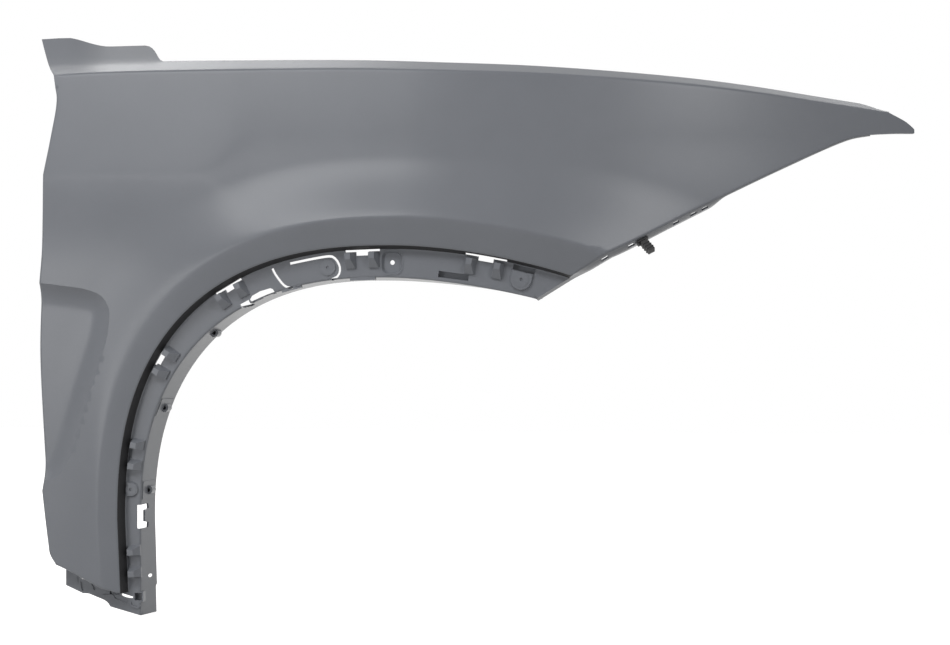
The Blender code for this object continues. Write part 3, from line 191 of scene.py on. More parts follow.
# Returns along the rear, bottom and front edges: rows of the front one by depth, splay and lip, and
# its bulge by height, place and reach
HEM_DEPTH = 0.014
HEM_ROW = 0.6
RETURN_ROWS = ((0.0, 0.0, 0.0), (0.5, 0.35, 0.0), (1.0, 0.85, 0.0), (1.0, 1.0, 1.0))
LIP_START = 0.5
LINER_ROWS = (0.2, 0.4, 0.6, 0.8)
HEM_GAP = 0.016
RETURN_LIP = 0.012
RETURN_END = 0.436
RETURN_FADE = 0.030
RETURN_SPLAY = 0.0058
RETURN_BULGE = (0.0020, 0.315, 0.035)
FRONT_HEM_END = 0.670
FRONT_HEM_SHARE = 0.28
FRONT_BLEND = 0.030

# Bracket at the foot of the leg, in the plane of the flange
BRACKET_OUTLINE = [(-0.431, -0.129), (-0.434, -0.124), (-0.439, -0.120), (-0.466, -0.110), (-0.472, -0.111),
                   (-0.500, -0.099)]
BRACKET_REAR_TOP = (-0.500, -0.070)

# Cleats and slots that hold the arch cladding: angles about the wheel centre, top is zero, then
# where the slit starts across the flange, its length and that of the notch between the cleats
Pair = namedtuple("Pair", "rear front start slit notch")
CLEAT_PAIRS = [Pair(37.7, 33.2, 0.0006, 0.0440, 0.0130), Pair(8.8, 3.7, 0.0002, 0.0510, 0.0193),
               Pair(-16.9, -22.6, -0.0031, 0.0605, 0.0218), Pair(58.0, 53.7, 0.0006, 0.0225, 0.0165),
               Pair(78.4, 74.0, 0.0006, 0.0420, 0.0140), Pair(100.9, 96.5, 0.0006, 0.0420, 0.0140)]
CLEAT_WIDTH = 0.0164
CLEAT_LENGTH = 0.0225
CLEAT_LENGTH_LEG = 0.0175
CLEAT_HEIGHT = 0.012
CLEAT_GAP = 0.0009
CLEAT_NOSE = 0.009
CLEAT_TOE = 0.0030
CLEAT_LEAN_REAR = 0.08
CLEAT_LEAN_FRONT = 0.50
SLIT_WIDTH = 0.003
NOTCH_DEPTH = 0.0085
NOTCH_DEPTH_LEG = 0.0045
LEG_START = 45.0
BLIND_FROM = 70.0
SLIT_POCKET_DEPTH = 0.006

# Open spaces and bosses of the flange
CUT_REACH = 0.009
TONGUE_UPPER = [(21.9, 0.0056), (16.9, 0.0060), (13.4, 0.0059), (12.3, 0.0098), (11.7, 0.0162),
                (11.4, 0.0246), (11.7, 0.0326), (12.4, 0.0372), (13.6, 0.0395)]
TONGUE_LEFT = [(22.5, 0.0404), (23.6, 0.0384), (24.4, 0.0331), (25.0, 0.0243), (25.5, 0.0139),
               (25.7, 0.0050)]
TONGUE_GROOVE = [(14.2, 0.0400), (17.8, 0.0408), (22.0, 0.0407)]
TONGUE_SLIT = 0.0035
GROOVE_WIDTH = 0.0016
GROOVE_DEPTH = 0.0020
TONGUE_BOSS = (14.0, 0.0217)
TONGUE_BOSS_RADIUS = 0.0115
BOSS_HEIGHT = 0.0016
DIMPLE_RADIUS = 0.0022
DIMPLE_DEPTH = 0.0012
CUP_PLACE = (0.0, 0.0195)
CUP_SIZE = (0.030, 0.033)
CUP_SLOPE = 0.55
CUP_CORNER = 0.010
CUP_DEPTH = 0.0045
CUP_RIM = 0.0008
CUP_RIM_WIDTH = 0.0014
PATH_STEP = 0.0050
CUP_HOLE_RADIUS = 0.0034
POCKET_DEPTH = 0.012
POCKET_FLOOR = 0.002
FLANGE_SLOTS = [((-13.6, 0.0325), (0.044, 0.009)), ((-27.4, 0.0048), (0.032, 0.0075))]
SLOPED_PADS = [((-27.3, 0.0200), 0.0175, 0.0105), ((83.7, 0.0092), 0.0125, 0.0065)]
PAD_RISE = 0.0035
PAD_DRAFT = 0.0030
PAD_DISC = 0.62
PAD_DISC_RISE = 0.0006
LEG_WINDOW = [(-0.3888, -0.0135), (-0.378, -0.0135), (-0.378, 0.021), (-0.3888, 0.021), (-0.3888, 0.0118),
              (-0.3840, 0.0100), (-0.3840, 0.0050), (-0.3888, 0.0022)]
LINER_WINDOWS = [(89.4, [(-0.0175, -0.006), (0.017, -0.006), (0.018, 0.029), (0.011, 0.031), (0.009, 0.017),
                         (-0.008, 0.017), (-0.010, 0.031), (-0.0175, 0.029)]),
                 (33.0, [(-0.009, -0.006), (0.006, -0.006), (0.006, 0.026), (0.000, 0.028),
                         (-0.008, 0.008)])]
SHOULDER_WINDOW = [(-0.2180, 0.3225), (-0.2145, 0.3168), (-0.2040, 0.3176), (-0.2002, 0.3195),
                   (-0.1987, 0.3250), (-0.1840, 0.3303), (-0.1777, 0.3285), (-0.1833, 0.3372),
                   (-0.1875, 0.3385), (-0.2032, 0.3340), (-0.2153, 0.3272)]

# Liner return: its screw bosses, which face outboard, the hole and step at its foot, and its patches
LINER_BOSSES = [42.8, 63.7, 83.3]
SCREW_DEPTH = 0.033
SCREW_RADIUS = 0.0065
SCREW_FRONT = 0.008
SCREW_ROOT = 0.010
SCREW_HOLE = 0.0030
SCREW_HOLE_DEPTH = 0.012
FOOT_HOLE_RADIUS = 0.0028
FOOT_HOLE_REACH = 0.020
FOOT_HOLE_TURN = math.radians(17.4)
LINER_PATCH = (0.027, 0.046)
LINER_PATCH_RISE = 0.0010
LINER_PATCHES = [63.7, 83.3]
FOOT_HOLE_Z = -0.088
FOOT_STEP_Z = -0.1045
FOOT_STEP_DEPTH = 0.0520
FOOT_STEP_CORNER = 0.003
RIM_TABS = [(21.9, 0.030), (4.9, 0.037)]
RIM_TAB_HEIGHT = 0.0035
RIM_TAB_DEPTH = 0.008

# Open spaces of the bracket
BRACKET_WINDOWS = [[(-0.4792, -0.0827), (-0.4673, -0.0892), (-0.4675, -0.0911), (-0.4753, -0.0892),
                    (-0.4797, -0.0856)],
                   [(-0.4138, -0.1088), (-0.3956, -0.1138), (-0.3964, -0.1160), (-0.4060, -0.1152),
                    (-0.4147, -0.1120)]]
BRACKET_GROOVES = [[(-0.4775, -0.0930), (-0.4735, -0.0950), (-0.4720, -0.1075), (-0.4755, -0.1062)],
                   [(-0.4640, -0.0900), (-0.4560, -0.0945), (-0.4530, -0.1040), (-0.4565, -0.1050),
                    (-0.4590, -0.0985)]]
BRACKET_GROOVE_DEPTH = 0.0018
BRACKET_POCKETS = [((-0.3935, -0.119), (-0.3825, -0.108), POCKET_DEPTH),
                   ((-0.4320, -0.1112), (-0.4165, -0.1060), 0.006)]
RIDGES = [[(-0.4420, -0.1130), (-0.4265, -0.1127), (-0.4235, -0.1178), (-0.4075, -0.1235),
           (-0.4055, -0.1190)],
          [(-0.4000, -0.1215), (-0.3985, -0.1265), (-0.3880, -0.1300), (-0.3850, -0.1255)]]
RIDGE_WIDTH = 0.0026
RIDGE_RISE = 0.0024
SILL_PAD = ((-0.4985, -0.0965), (-0.4815, -0.0765))
SILL_PAD_HEIGHT = 0.0016

# Clip in the front return
CLIP_PLACE = 0.3475
CLIP_HEAD = (0.017, 0.0035, 0.010)
CLIP_NECK = (0.0100, 0.0060)
CLIP_SHANK = (0.0105, 0.0225, 0.0085)
CLIP_BARB = (0.013, 0.0030, 0.0085)
CLIP_RIB = (0.0118, 0.0016, 0.0098)
CLIP_RIBS = (0.006, 0.011, 0.016)
CLEARANCE = 0.0003
BARB_GAP = 0.0016
CLIP_SEAT = 0.0006
RETURN_SLOTS = [0.2975, 0.3335, 0.3945, 0.4185, 0.4340]
RETURN_SLOT_SIZE = (0.010, 4 * WALL, 0.006)

# Rounding of the moulding's edges
EDGE_ROUND = 0.0033
CREASE_ROUND = 0.0036
FOOT_ROUND = 0.0022
FORM_ROUND = 0.0006
CLIP_ROUND = 0.0005
ROUND_EASE = 0.014
ROUND_STEPS = 5
ROUND_SHARE = 0.45
ROUND_PROFILE = 0.6
SHARP_ANGLE = math.radians(30)

# Where the part's origin lies from the wheel centre
ORIGIN = Vector((0.09347, 0.11906, 0.65563))

# Camera
CAMERA_AZIMUTH = math.radians(10)
CAMERA_DISTANCE = 3.5
CAMERA_AIM = Vector((0.12013716888, 0.0, 0.28865280851))
CAMERA_LENS = 93.60026742933552
CAMERA_SENSOR = 36.0
CAMERA_END = 50.0

# Looks: a grain is the scale, detail and roughness of a noise; tones and gloss run over a range
Look = namedtuple("Look", "name colour tones gloss relief")
CLOUDS = (9.0, 4.0, 0.55)
FLECKS = (1400.0, 2.0, 0.6)
PEEL = (420.0, 3.0, 0.5)
SPARKS = (2600.0, 2.0, 0.6)
PRIMER = Look("grey_primer", (0.208, 0.219, 0.243), [(CLOUDS, 0.94, 1.06), (FLECKS, 0.93, 1.07)],
              (CLOUDS, 0.27, 0.33), (PEEL, 0.10, 0.0004))
PRIMER_FILM = {"Specular_IOR_Level": 0.28, "IOR": 1.5}
PLASTIC = Look("black_plastic", (0.012, 0.012, 0.013), [(SPARKS, 0.7, 1.3)], (SPARKS, 0.42, 0.58),
               (SPARKS, 0.15, 0.0002))
# Painted shade: a dark colour for the step wall in the wheel arch, standing in for the shadow in the gap
# there
STEP_SHADE = {"Base_Color": (0.035, 0.035, 0.037, 1.0), "Roughness": 0.6, "Specular_IOR_Level": 0.2}

# Which faces of the step get the painted shade: the most that they face outboard, how far off the skin's edge
STEP_FACING = 0.6
STEP_WALL = (-STEP_DRAFT * 1.1, 0.0006)

# World, floor, and lamps by place, aim, size and power
WHITE = (1.0, 1.0, 1.0, 1.0)
WORLD_LIGHT = 0.16
FLOOR_LOOK = {"Base_Color": (0.55, 0.54, 0.52, 1.0), "Roughness": 0.9, "Emission_Color": WHITE}
FLOOR_WHITE = 0.92
FLOOR_SIDE = 12.0
FLOOR_DROP = 0.0005
LAMPS = {"key": ((-1.3, -2.1, 1.95), (-0.3, -0.1, -0.2), (1.5, 1.2), 42),
         "left": ((-1.95, -2.95, -0.2), (-0.5, -0.1, -0.4), (0.7, 0.7), 15),
         "right": ((1.85, -2.1, 1.65), (0.3, 0.0, -0.2), (0.7, 0.7), 19),
         "back_left": ((-1.6, 2.6, 1.2), (0.0, 0.0, -0.3), (1.6, 1.6), 38),
         "back_right": ((1.0, 2.9, 1.2), (0.0, 0.0, -0.3), (1.6, 1.6), 16)}


def smooth(t):
    """Ease from 0 to 1 as t goes from 0 to 1."""
    t = min(max(t, 0.0), 1.0)
    return t * t * (3.0 - 2.0 * t)


def mix(a, b, t):
    return a + (b - a) * t


def hinge(t, radius):
    """Zero below 0 and t above it, with a corner of about the given radius."""
    return 0.5 * (t + math.hypot(t, radius))


def eased(t, radius):
    """Zero below -radius and t above radius, with an even bend between them."""
    return max(t, 0.0) if abs(t) > radius else (t + radius) ** 2 / (4.0 * radius)


def marks_along(points):
    """Distance of each point of a line from its start."""
    return np.concatenate([[0.0], np.cumsum(np.linalg.norm(np.diff(points, axis=0), axis=1))])


def spline(points, step):
    """Points at an even step along a smooth curve through the given ones."""
    line = np.array(points, dtype=float)
    knots = [2 * line[0] - line[1], *line, 2 * line[-1] - line[-2]]
    dense = []
    for a, b, c, d in zip(knots, knots[1:], knots[2:], knots[3:]):
        for t in np.linspace(0.0, 1.0, CURVE_STEPS, endpoint=False):
            dense.append(0.5 * (2 * b + (c - a) * t + (2 * a - 5 * b + 4 * c - d) * t ** 2
                                + (3 * b - a - 3 * c + d) * t ** 3))
    dense.append(knots[-2])
    return even(dense, step)


def even(points, step):
    """The same polyline, divided at an even step, with its two ends kept."""
    line = np.array(points, dtype=float)
    lengths = marks_along(line)
    count = max(1, round(lengths[-1] / step))
    return [tuple(np.interp(mark, lengths, line[:, k]) for k in range(line.shape[1]))
            for mark in np.linspace(0.0, lengths[-1], count + 1)]


def joined(*lines):
    """Lines joined end to end, without the points that they share."""
    return lines[0] + [p for line in lines[1:] for p in line[1:]]


def closed(*lines):
    """One loop of lines that each start where the one before ends."""
    return [p for line in lines for p in line[:-1]]


def height_at(line, x):
    """Height of a line, given from rear to front, at this length."""
    return float(np.interp(x, *zip(*line)))


def plan(x):
    """How far the body side lies inboard of its widest point at this length."""
    reach, inboard = PLAN_NOSE if x > 0.0 else PLAN_TAIL
    return inboard * (x / reach) ** 2


def plan_slope(x):
    reach, inboard = PLAN_NOSE if x > 0.0 else PLAN_TAIL
    return 2.0 * inboard * x / reach ** 2


def arch_point(arch, angle):
    """Point of an arch curve at an angle from the top, positive to the rear.

    Past 90 degrees the leg runs straight down with its taper.
    """
    if angle > math.pi / 2:
        drop = arch.rear * math.tan(angle - math.pi / 2)
        return (arch.centre - arch.rear + arch.taper * drop, -drop)
    length, power = (arch.rear, arch.rear_power) if angle >= 0.0 else (arch.front, arch.front_power)
    side, rise = abs(math.sin(angle)) / length, abs(math.cos(angle)) / arch.height
    radius = (side ** power + rise ** power) ** (-1.0 / power)
    return (arch.centre - radius * math.sin(angle), radius * math.cos(angle))


def arch_distance(arch, x, z):
    """Distance outside an arch curve, negative on the wheel's side."""
    if z < 0.0:
        return (arch.centre - x) - (arch.rear + arch.taper * z)
    length, power = (arch.rear, arch.rear_power) if x < arch.centre else (arch.front, arch.front_power)
    ratio = ((abs(x - arch.centre) / length) ** power + (z / arch.height) ** power) ** (1.0 / power)
    return (1.0 - 1.0 / max(ratio, TINY)) * math.hypot(x - arch.centre, z)


def cut_height(x):
    """Height of the straight front cut at this length."""
    return CUT_LOW[1] + (x - CUT_LOW[0]) * (CUT_HIGH[1] - CUT_LOW[1]) / (CUT_HIGH[0] - CUT_LOW[0])


def front_angle(arch):
    """Angle at which an arch curve meets the front cut."""
    high, low = 0.0, -math.pi / 2
    for _ in range(HALVINGS):
        middle = (high + low) / 2
        x, z = arch_point(arch, middle)
        high, low = (middle, low) if z > cut_height(x) else (high, middle)
    return high


def arch_line(arch, bottom):
    """The arch curve as points, from the foot of the leg round to the front cut."""
    leg = [math.pi / 2 + math.atan2(-bottom * k / LEG_STEPS, arch.rear) for k in range(LEG_STEPS, 0, -1)]
    bow = [mix(math.pi / 2, front_angle(arch), k / ARCH_STEPS) for k in range(ARCH_STEPS + 1)]
    return [arch_point(arch, a) for a in leg + bow]


def grown_arch(arch, rim):
    """An arch curve that is larger all round by a rim."""
    return arch._replace(height=arch.height + rim, rear=arch.rear + rim, front=arch.front + rim)


def valley(x):
    """Height of the mid crease, level with its start on the rear edge."""
    return VALLEY_HEIGHT + VALLEY_RISE * smooth(-x / PLAN_TAIL[0])


def inside(loop, x, z):
    """Whether a point lies inside a closed outline."""
    hit = False
    for (ax, az), (bx, bz) in zip(loop, loop[1:] + loop[:1]):
        if (az > z) != (bz > z) and x < (bx - ax) * (z - az) / (bz - az) + ax:
            hit = not hit
    return hit


def segment_distance(point, a, b):
    ax, az = a
    dx, dz = b[0] - ax, b[1] - az
    t = min(max(((point[0] - ax) * dx + (point[1] - az) * dz) / (dx * dx + dz * dz), 0.0), 1.0)
    return math.hypot(point[0] - ax - t * dx, point[1] - az - t * dz)


def flange_depth(x, z):
    """Y of the flange that carries the arch cladding, and of the bracket below it."""
    return plan(x) + FLANGE_INSET


def on_skin(points):
    return [Vector((x, skin_depth(x, z), z)) for x, z in points]


def on_flange(points, behind=0.0):
    return [Vector((x, flange_depth(x, z) + behind, z)) for x, z in points]


def mid_crease():
    """The crease that starts on the rear edge and fades towards the front."""
    start, end = CREASE_START[0], VALLEY_FADE[0] - VALLEY_FADE[1] / 4
    count = max(2, round((end - start) / SURFACE_STEP))
    lengths = [mix(start, end, k / count) for k in range(1, count + 1)]
    return [CREASE_START] + [(x, valley(x)) for x in lengths]


def scallop_inset(x, z):
    """Distance of a point inside the scallop's curved lip, or zero outside it."""
    past = [(-1.0, SCALLOP_FOOT[1]), (-1.0, SCALLOP_TOP[1])]
    if x > SCALLOP_FRONT or not inside(SCALLOP_CURVE + past, x, z):
        return 0.0
    return min(segment_distance((x, z), a, b) for a, b in zip(SCALLOP_CURVE, SCALLOP_CURVE[1:]))


def skin_depth(x, z):
    """Y of the painted skin."""
    angle = math.atan2(FLARE_CREASE.centre - x, max(z, TINY))
    leg, nose = smooth(angle / (math.pi / 2)), smooth(-angle / (math.pi / 4))
    flare, sweep = (mix(mix(top, low, leg), front, nose) for top, low, front in (FLARE, SWEEP))
    band = mix(*BAND_SLOPE, leg)
    soft_radius, soft_angle, spread = CREASE_SOFT
    radius = mix(CREASE_RADIUS, soft_radius, math.exp(-((angle - soft_angle) / spread) ** 2))
    away = arch_distance(FLARE_CREASE, x, z)
    reach = min(hinge(away, radius) / sweep, 1.0)
    above = z - valley(x)
    fade = smooth((VALLEY_FADE[0] - x) / VALLEY_FADE[1])
    soft = mix(VALLEY_SOFT, VALLEY_SHARP, fade)
    upper = TUMBLEHOME * hinge(above, soft)
    lower = HAUNCH * (1.0 - min(eased(-above, soft) / HAUNCH_DROP, 1.0)) ** 2
    press = min(scallop_inset(x, z) / SCALLOP_RUN, 1.0)
    scallop = SCALLOP_DEPTH * (1.0 - (1.0 - press) ** 2)
    return (plan(x) + (flare + upper + lower) * (1.0 - (1.0 - reach) ** 2)
            + band * hinge(-away, radius) + scallop)


def grid_points(points, edges, loop_size, step):
    """A triangular grid of points inside the outline, clear of every line."""
    flat = np.array(points)
    low, high = flat.min(axis=0), flat.max(axis=0)
    (ax, az), (bx, bz) = flat[[e[0] for e in edges]].T, flat[[e[1] for e in edges]].T
    dx, dz = bx - ax, bz - az
    keep = []
    for j in range(int((high[1] - low[1]) / (step * ROW_SHARE)) + 1):
        for i in range(int((high[0] - low[0]) / step) + 1):
            x, z = low[0] + step * (i + 0.5 * (j % 2)), low[1] + step * ROW_SHARE * j
            crosses = (az > z) != (bz > z)
            crosses[loop_size:] = False
            reach = dx * (z - az) / np.where(crosses, dz, 1.0) + ax
            t = np.clip(((x - ax) * dx + (z - az) * dz) / (dx ** 2 + dz ** 2), 0.0, 1.0)
            gap = np.hypot(x - ax - t * dx, z - az - t * dz).min()
            if np.count_nonzero(crosses & (x < reach)) % 2 and gap > CLEAR_SHARE * step:
                keep.append((float(x), float(z)))
    return keep


def strip(mesh, rows):
    """Join rows of points of one length with faces."""
    lines = [[mesh.verts.new(p) for p in row] for row in rows]
    for low, high in zip(lines, lines[1:]):
        for k in range(len(low) - 1):
            mesh.faces.new((low[k], low[k + 1], high[k + 1], high[k]))


def between(a, b, t):
    """A row of points part of the way from one row to another."""
    return [p.lerp(q, t) for p, q in zip(a, b)]


def ledge_width(x):
    share = min(max((x - LEDGE_TAPER[0]) / (LEDGE_TAPER[1] - LEDGE_TAPER[0]), 0.0), 1.0)
    narrow = mix(LEDGE_WIDTH, LEDGE_NOSE_WIDTH, share)
    narrow = mix(narrow, LEDGE_TIP_WIDTH, smooth((x - LEDGE_TAPER[1]) / LEDGE_TIP_LENGTH))
    return mix(narrow, EAR_WIDTH, smooth((EAR_FRONT - x) / EAR_BLEND))


def ledge_point(x, z, out):
    """Point of the ledge at a distance inboard of the top crease."""
    share = out / ledge_width(x)
    lean = EAR_LEAN[0] * smooth((EAR_FRONT - x) / EAR_LEAN[1]) * out
    steep = EAR_STEEPER * max(out - LEDGE_WIDTH, 0.0)
    lift = EAR_LIFT[0] * smooth((EAR_LIFT[1] - x) / EAR_LIFT[2]) * share ** 2
    return Vector((x - lean, skin_depth(x, z) + out,
                   z + LEDGE_SLOPE * min(out, LEDGE_WIDTH) + steep + lift))


def ledge_brow(x, z):
    """Point of the ledge's inboard edge."""
    return ledge_point(x, z, ledge_width(x))


def cut_normal():
    """Direction away from the panel across the front cut, in the X-Z plane."""
    along = Vector((CUT_HIGH[0] - CUT_LOW[0], 0.0, CUT_HIGH[1] - CUT_LOW[1])).normalized()
    return Vector((along.z, 0.0, -along.x))


def frame_at(place, *axes):
    """A frame with its origin at a place and its x, y and z along the given axes."""
    frame = Matrix(axes).transposed().to_4x4()
    frame.translation = place
    return frame


def flange_frame(angle, across):
    """Frame on the flange: x along the arch, y towards the wheel, z out of the flange."""
    turn = math.radians(angle)
    point = arch_point(STEP_FOOT, turn)
    ahead, behind = (arch_point(STEP_FOOT, turn + probe) for probe in (-PROBE_TURN, PROBE_TURN))
    along = Vector((ahead[0] - behind[0], 0.0, ahead[1] - behind[1])).normalized()
    slope = plan_slope(point[0])
    inward = Vector((along.z, slope * along.z, -along.x)).normalized()
    along = Vector((along.x, slope * along.x, along.z)).normalized()
    out = along.cross(inward).normalized()
    if out.y > 0.0:
        out = -out
    return frame_at(on_flange([point])[0] + inward * across, along, inward, out)


def liner_frame(angle, depth):
    """Frame on the liner return: x along the arch, y inboard, z towards the wheel."""
    turns = [math.radians(angle) + probe for probe in (-PROBE_TURN, PROBE_TURN)]
    front = on_flange([arch_point(INNER_EDGE, turn) for turn in turns])
    back = on_flange([arch_point(LINER_BACK, turn) for turn in turns], LINER_DEPTH)
    place = (front[0] + front[1]).lerp(back[0] + back[1], depth / LINER_DEPTH) / 2
    along = (front[0] - front[1]).normalized()
    inboard = (back[0] + back[1] - front[0] - front[1]).normalized()
    out = along.cross(inboard).normalized()
    if out.x * place.x + out.z * place.z > 0.0:
        out = -out
    inboard = out.cross(along) if out.cross(along).y > 0.0 else along.cross(out)
    return frame_at(place, along, inboard, out)


def foot_frame(z, depth):
    """Frame on the liner return below the wheel centre, at a height."""
    return liner_frame(90.0 + math.degrees(math.atan2(-z, INNER_EDGE.rear)), depth)


def outboard_frame(place, turn):
    """Frame at a place whose z points outboard, turned towards the front by an angle."""
    frame = Matrix.Rotation(turn, 4, "Z") @ side_frame(0.0)
    frame.translation = place
    return frame


def side_frame(depth):
    """Frame whose x and y are the part's X and Z, and whose z points outboard."""
    return Matrix(((1, 0, 0, 0), (0, 0, -1, depth), (0, 1, 0, 0), (0, 0, 0, 1)))


def flat_frame(points):
    """Side frame at the flange's depth at the first of some points."""
    return side_frame(flange_depth(*points[0]))


def loft(mesh, frame, flat, base, lid):
    """A closed body between two loops in a frame; the flat outline tells which way round they run."""
    area = sum(a[0] * b[1] - b[0] * a[1] for a, b in zip(flat, flat[1:] + flat[:1]))
    if area * frame.to_3x3().determinant() < 0.0:
        base, lid = base[::-1], lid[::-1]
    base, lid = ([mesh.verts.new(frame @ Vector(p)) for p in loop] for loop in (base, lid))
    mesh.faces.new(base[::-1])
    mesh.faces.new(lid)
    for side in zip(base, base[1:] + base[:1], lid[1:] + lid[:1], lid):
        mesh.faces.new(side)


def taper(mesh, frame, outline, top, low, high):
    """A closed body between an outline at one height and one with as many corners above it."""
    loft(mesh, frame, outline, [(x, y, low) for x, y in outline], [(x, y, high) for x, y in top])


def prism(mesh, frame, outline, low=-CUT_REACH, high=CUT_REACH):
    """A closed prism over an outline in a frame's x-y plane, between two heights."""
    taper(mesh, frame, outline, outline, low, high)


def wedge(mesh, frame, profile, width):
    """A closed body over a profile in the frame's y-z plane, whose two sides lean in as it rises."""
    root = min(z for _, z in profile)
    rear = [(CLEAT_LEAN_REAR * (z - root) - width / 2, y, z) for y, z in profile]
    front = [(width / 2 - CLEAT_LEAN_FRONT * (z - root), y, z) for y, z in profile]
    loft(mesh, frame, profile, rear, front)


def box(mesh, frame, size, centre):
    """A box in a frame."""
    outline = rectangle(size[0], size[1], centre=centre[:2])
    prism(mesh, frame, outline, centre[2] - size[2] / 2, centre[2] + size[2] / 2)


def rectangle(length, width, rim=0.0, centre=(0.0, 0.0)):
    """A rectangle round a centre, larger all round by a rim."""
    x, y = (length + 2 * rim) / 2, (width + 2 * rim) / 2
    return [(centre[0] + sx * x, centre[1] + sy * y) for sx, sy in ((-1, -1), (1, -1), (1, 1), (-1, 1))]


def corners(low, high, rim=0.0):
    """A rectangle from its low and high corners, larger all round by a rim."""
    (x, z), (end, top) = (low[0] - rim, low[1] - rim), (high[0] + rim, high[1] + rim)
    return [(x, z), (end, z), (end, top), (x, top)]


def polar(radius, turn, x=0.0, y=0.0):
    """Point at a distance and a turn from a centre."""
    return (x + radius * math.cos(turn), y + radius * math.sin(turn))


def circle(radius, sides=HOLE_SIDES):
    return [polar(radius, 2 * math.pi * k / sides) for k in range(sides)]


def d_shape(radius, straight):
    """A half disc with straight sides, which end at its flat edge on the step's side."""
    bow = [polar(radius, math.pi * k / D_STEPS) for k in range(D_STEPS + 1)]
    return [(radius, -straight)] + bow + [(-radius, -straight)]


def rounded(length, width, radius, rim=0.0):
    """A rectangle with rounded corners, larger all round by a rim."""
    x, y, radius = (length + 2 * rim) / 2, (width + 2 * rim) / 2, radius + rim
    return [polar(radius, math.pi / 2 * (quarter + k / CORNER_STEPS), sx * (x - radius), sy * (y - radius))
            for quarter, (sx, sy) in enumerate(((1, 1), (-1, 1), (-1, -1), (1, -1)))
            for k in range(CORNER_STEPS + 1)]


def ribbon(path, width):
    """Outline of a constant-width band along a path."""
    left, right = [], []
    for before, place, after in zip(path[:1] + path, path, path[1:] + path[-1:]):
        along = (Vector(after) - Vector(before)).normalized()
        side = Vector((-along.y, along.x)) * (width / 2)
        left.append(tuple(Vector(place) + side))
        right.append(tuple(Vector(place) - side))
    return left + right[::-1]


def flange_path(places):
    """A smooth path through places on the flange, in the X-Z plane."""
    points = [flange_frame(angle, across).translation for angle, across in places]
    return spline([(p.x, p.z) for p in points], PATH_STEP)


def leg_share(pair):
    """Zero for a pair of cleats over the wheel, one for a pair down the leg."""
    return smooth((pair.rear - LEG_START) / LEG_START)


def pair_frame(pair):
    """Frame at the foot of the step, midway between a pair's two cleats."""
    return flange_frame((pair.rear + pair.front) / 2, 0.0)


def add_cleats(adders):
    """Ramped cleats in pairs, which the cladding slides under."""
    for pair in CLEAT_PAIRS:
        length = mix(CLEAT_LENGTH, CLEAT_LENGTH_LEG, leg_share(pair))
        profile = [(0.0, ROOT), (0.0, CLEAT_HEIGHT), (CLEAT_NOSE, CLEAT_HEIGHT), (length, CLEAT_TOE),
                   (length, ROOT)]
        start = max(pair.start, 0.0) + SLIT_WIDTH + CLEAT_GAP
        for angle in (pair.rear, pair.front):
            wedge(adders, flange_frame(angle, start), profile, CLEAT_WIDTH)


def notch_floor(pair):
    """How far across the flange the notch between a pair's cleats reaches."""
    return pair.start + mix(NOTCH_DEPTH, NOTCH_DEPTH_LEG, leg_share(pair))


def cut_cleat_slots(cutters):
    """A slit along the foot of the step with a deeper notch between the two cleats."""
    for pair in CLEAT_PAIRS:
        slit, notch, floor = pair.slit / 2, pair.notch / 2, notch_floor(pair)
        top, mouth = pair.start, pair.start + SLIT_WIDTH
        outline = [(-slit, top), (slit, top), (slit, mouth), (notch, mouth),
                   (notch, floor), (-notch, floor), (-notch, mouth), (-slit, mouth)]
        bottom = POCKET_FLOOR - SLIT_POCKET_DEPTH if pair.rear > BLIND_FROM else -CUT_REACH
        prism(cutters, pair_frame(pair), outline, bottom)


def cut_flange(cutters):
    """Slits, windows and recesses of the flange and the bracket."""
    middle = side_frame(flange_frame(*TONGUE_BOSS).translation.y)
    for path in (TONGUE_UPPER, TONGUE_LEFT):
        prism(cutters, middle, ribbon(flange_path(path), TONGUE_SLIT))
    prism(cutters, middle, ribbon(flange_path(TONGUE_GROOVE), GROOVE_WIDTH), -GROOVE_DEPTH)
    taper(cutters, flange_frame(*CUP_PLACE), cup_outline(-CUP_DEPTH), cup_outline(CUT_REACH / 2),
          -CUP_DEPTH, CUT_REACH / 2)
    for place, size in FLANGE_SLOTS:
        prism(cutters, flange_frame(*place), rectangle(*size), POCKET_FLOOR - POCKET_DEPTH)
    cuts = [(SHOULDER_WINDOW,), (LEG_WINDOW, -CUT_REACH, CUT_REACH / 2)]
    cuts += [(window,) for window in BRACKET_WINDOWS]
    cuts += [(groove, -BRACKET_GROOVE_DEPTH) for groove in BRACKET_GROOVES]
    cuts += [(corners(low, high), POCKET_FLOOR - depth) for low, high, depth in BRACKET_POCKETS]
    for outline, *heights in cuts:
        prism(cutters, flat_frame(outline), outline, *heights)


def cut_through(cutters):
    """The cup's hole, and the parts of two windows that lie in the liner return."""
    prism(cutters, flange_frame(*CUP_PLACE), circle(CUP_HOLE_RADIUS))
    for angle, outline in LINER_WINDOWS:
        prism(cutters, liner_frame(angle, 0.0), outline, -2 * WALL, 2 * WALL)


def add_pockets(pockets):
    """Blind boxes behind the slots that aren't open right through, and the liner's thin patches."""
    for place, size in FLANGE_SLOTS:
        prism(pockets, flange_frame(*place), rectangle(*size, POCKET_FLOOR), -POCKET_DEPTH, POCKET_ROOT)
    for low, high, depth in BRACKET_POCKETS:
        prism(pockets, flat_frame([low]), corners(low, high, POCKET_FLOOR), -depth, POCKET_ROOT)
    for pair in CLEAT_PAIRS:
        if pair.rear > BLIND_FROM:
            floor = notch_floor(pair)
            outline = rectangle(pair.slit, floor, POCKET_FLOOR, (0.0, floor / 2))
            prism(pockets, pair_frame(pair), outline, -SLIT_POCKET_DEPTH, POCKET_ROOT)
    for angle in LINER_PATCHES:
        prism(pockets, liner_frame(angle, LINER_DEPTH / 2), rectangle(*LINER_PATCH), ROOT, LINER_PATCH_RISE)


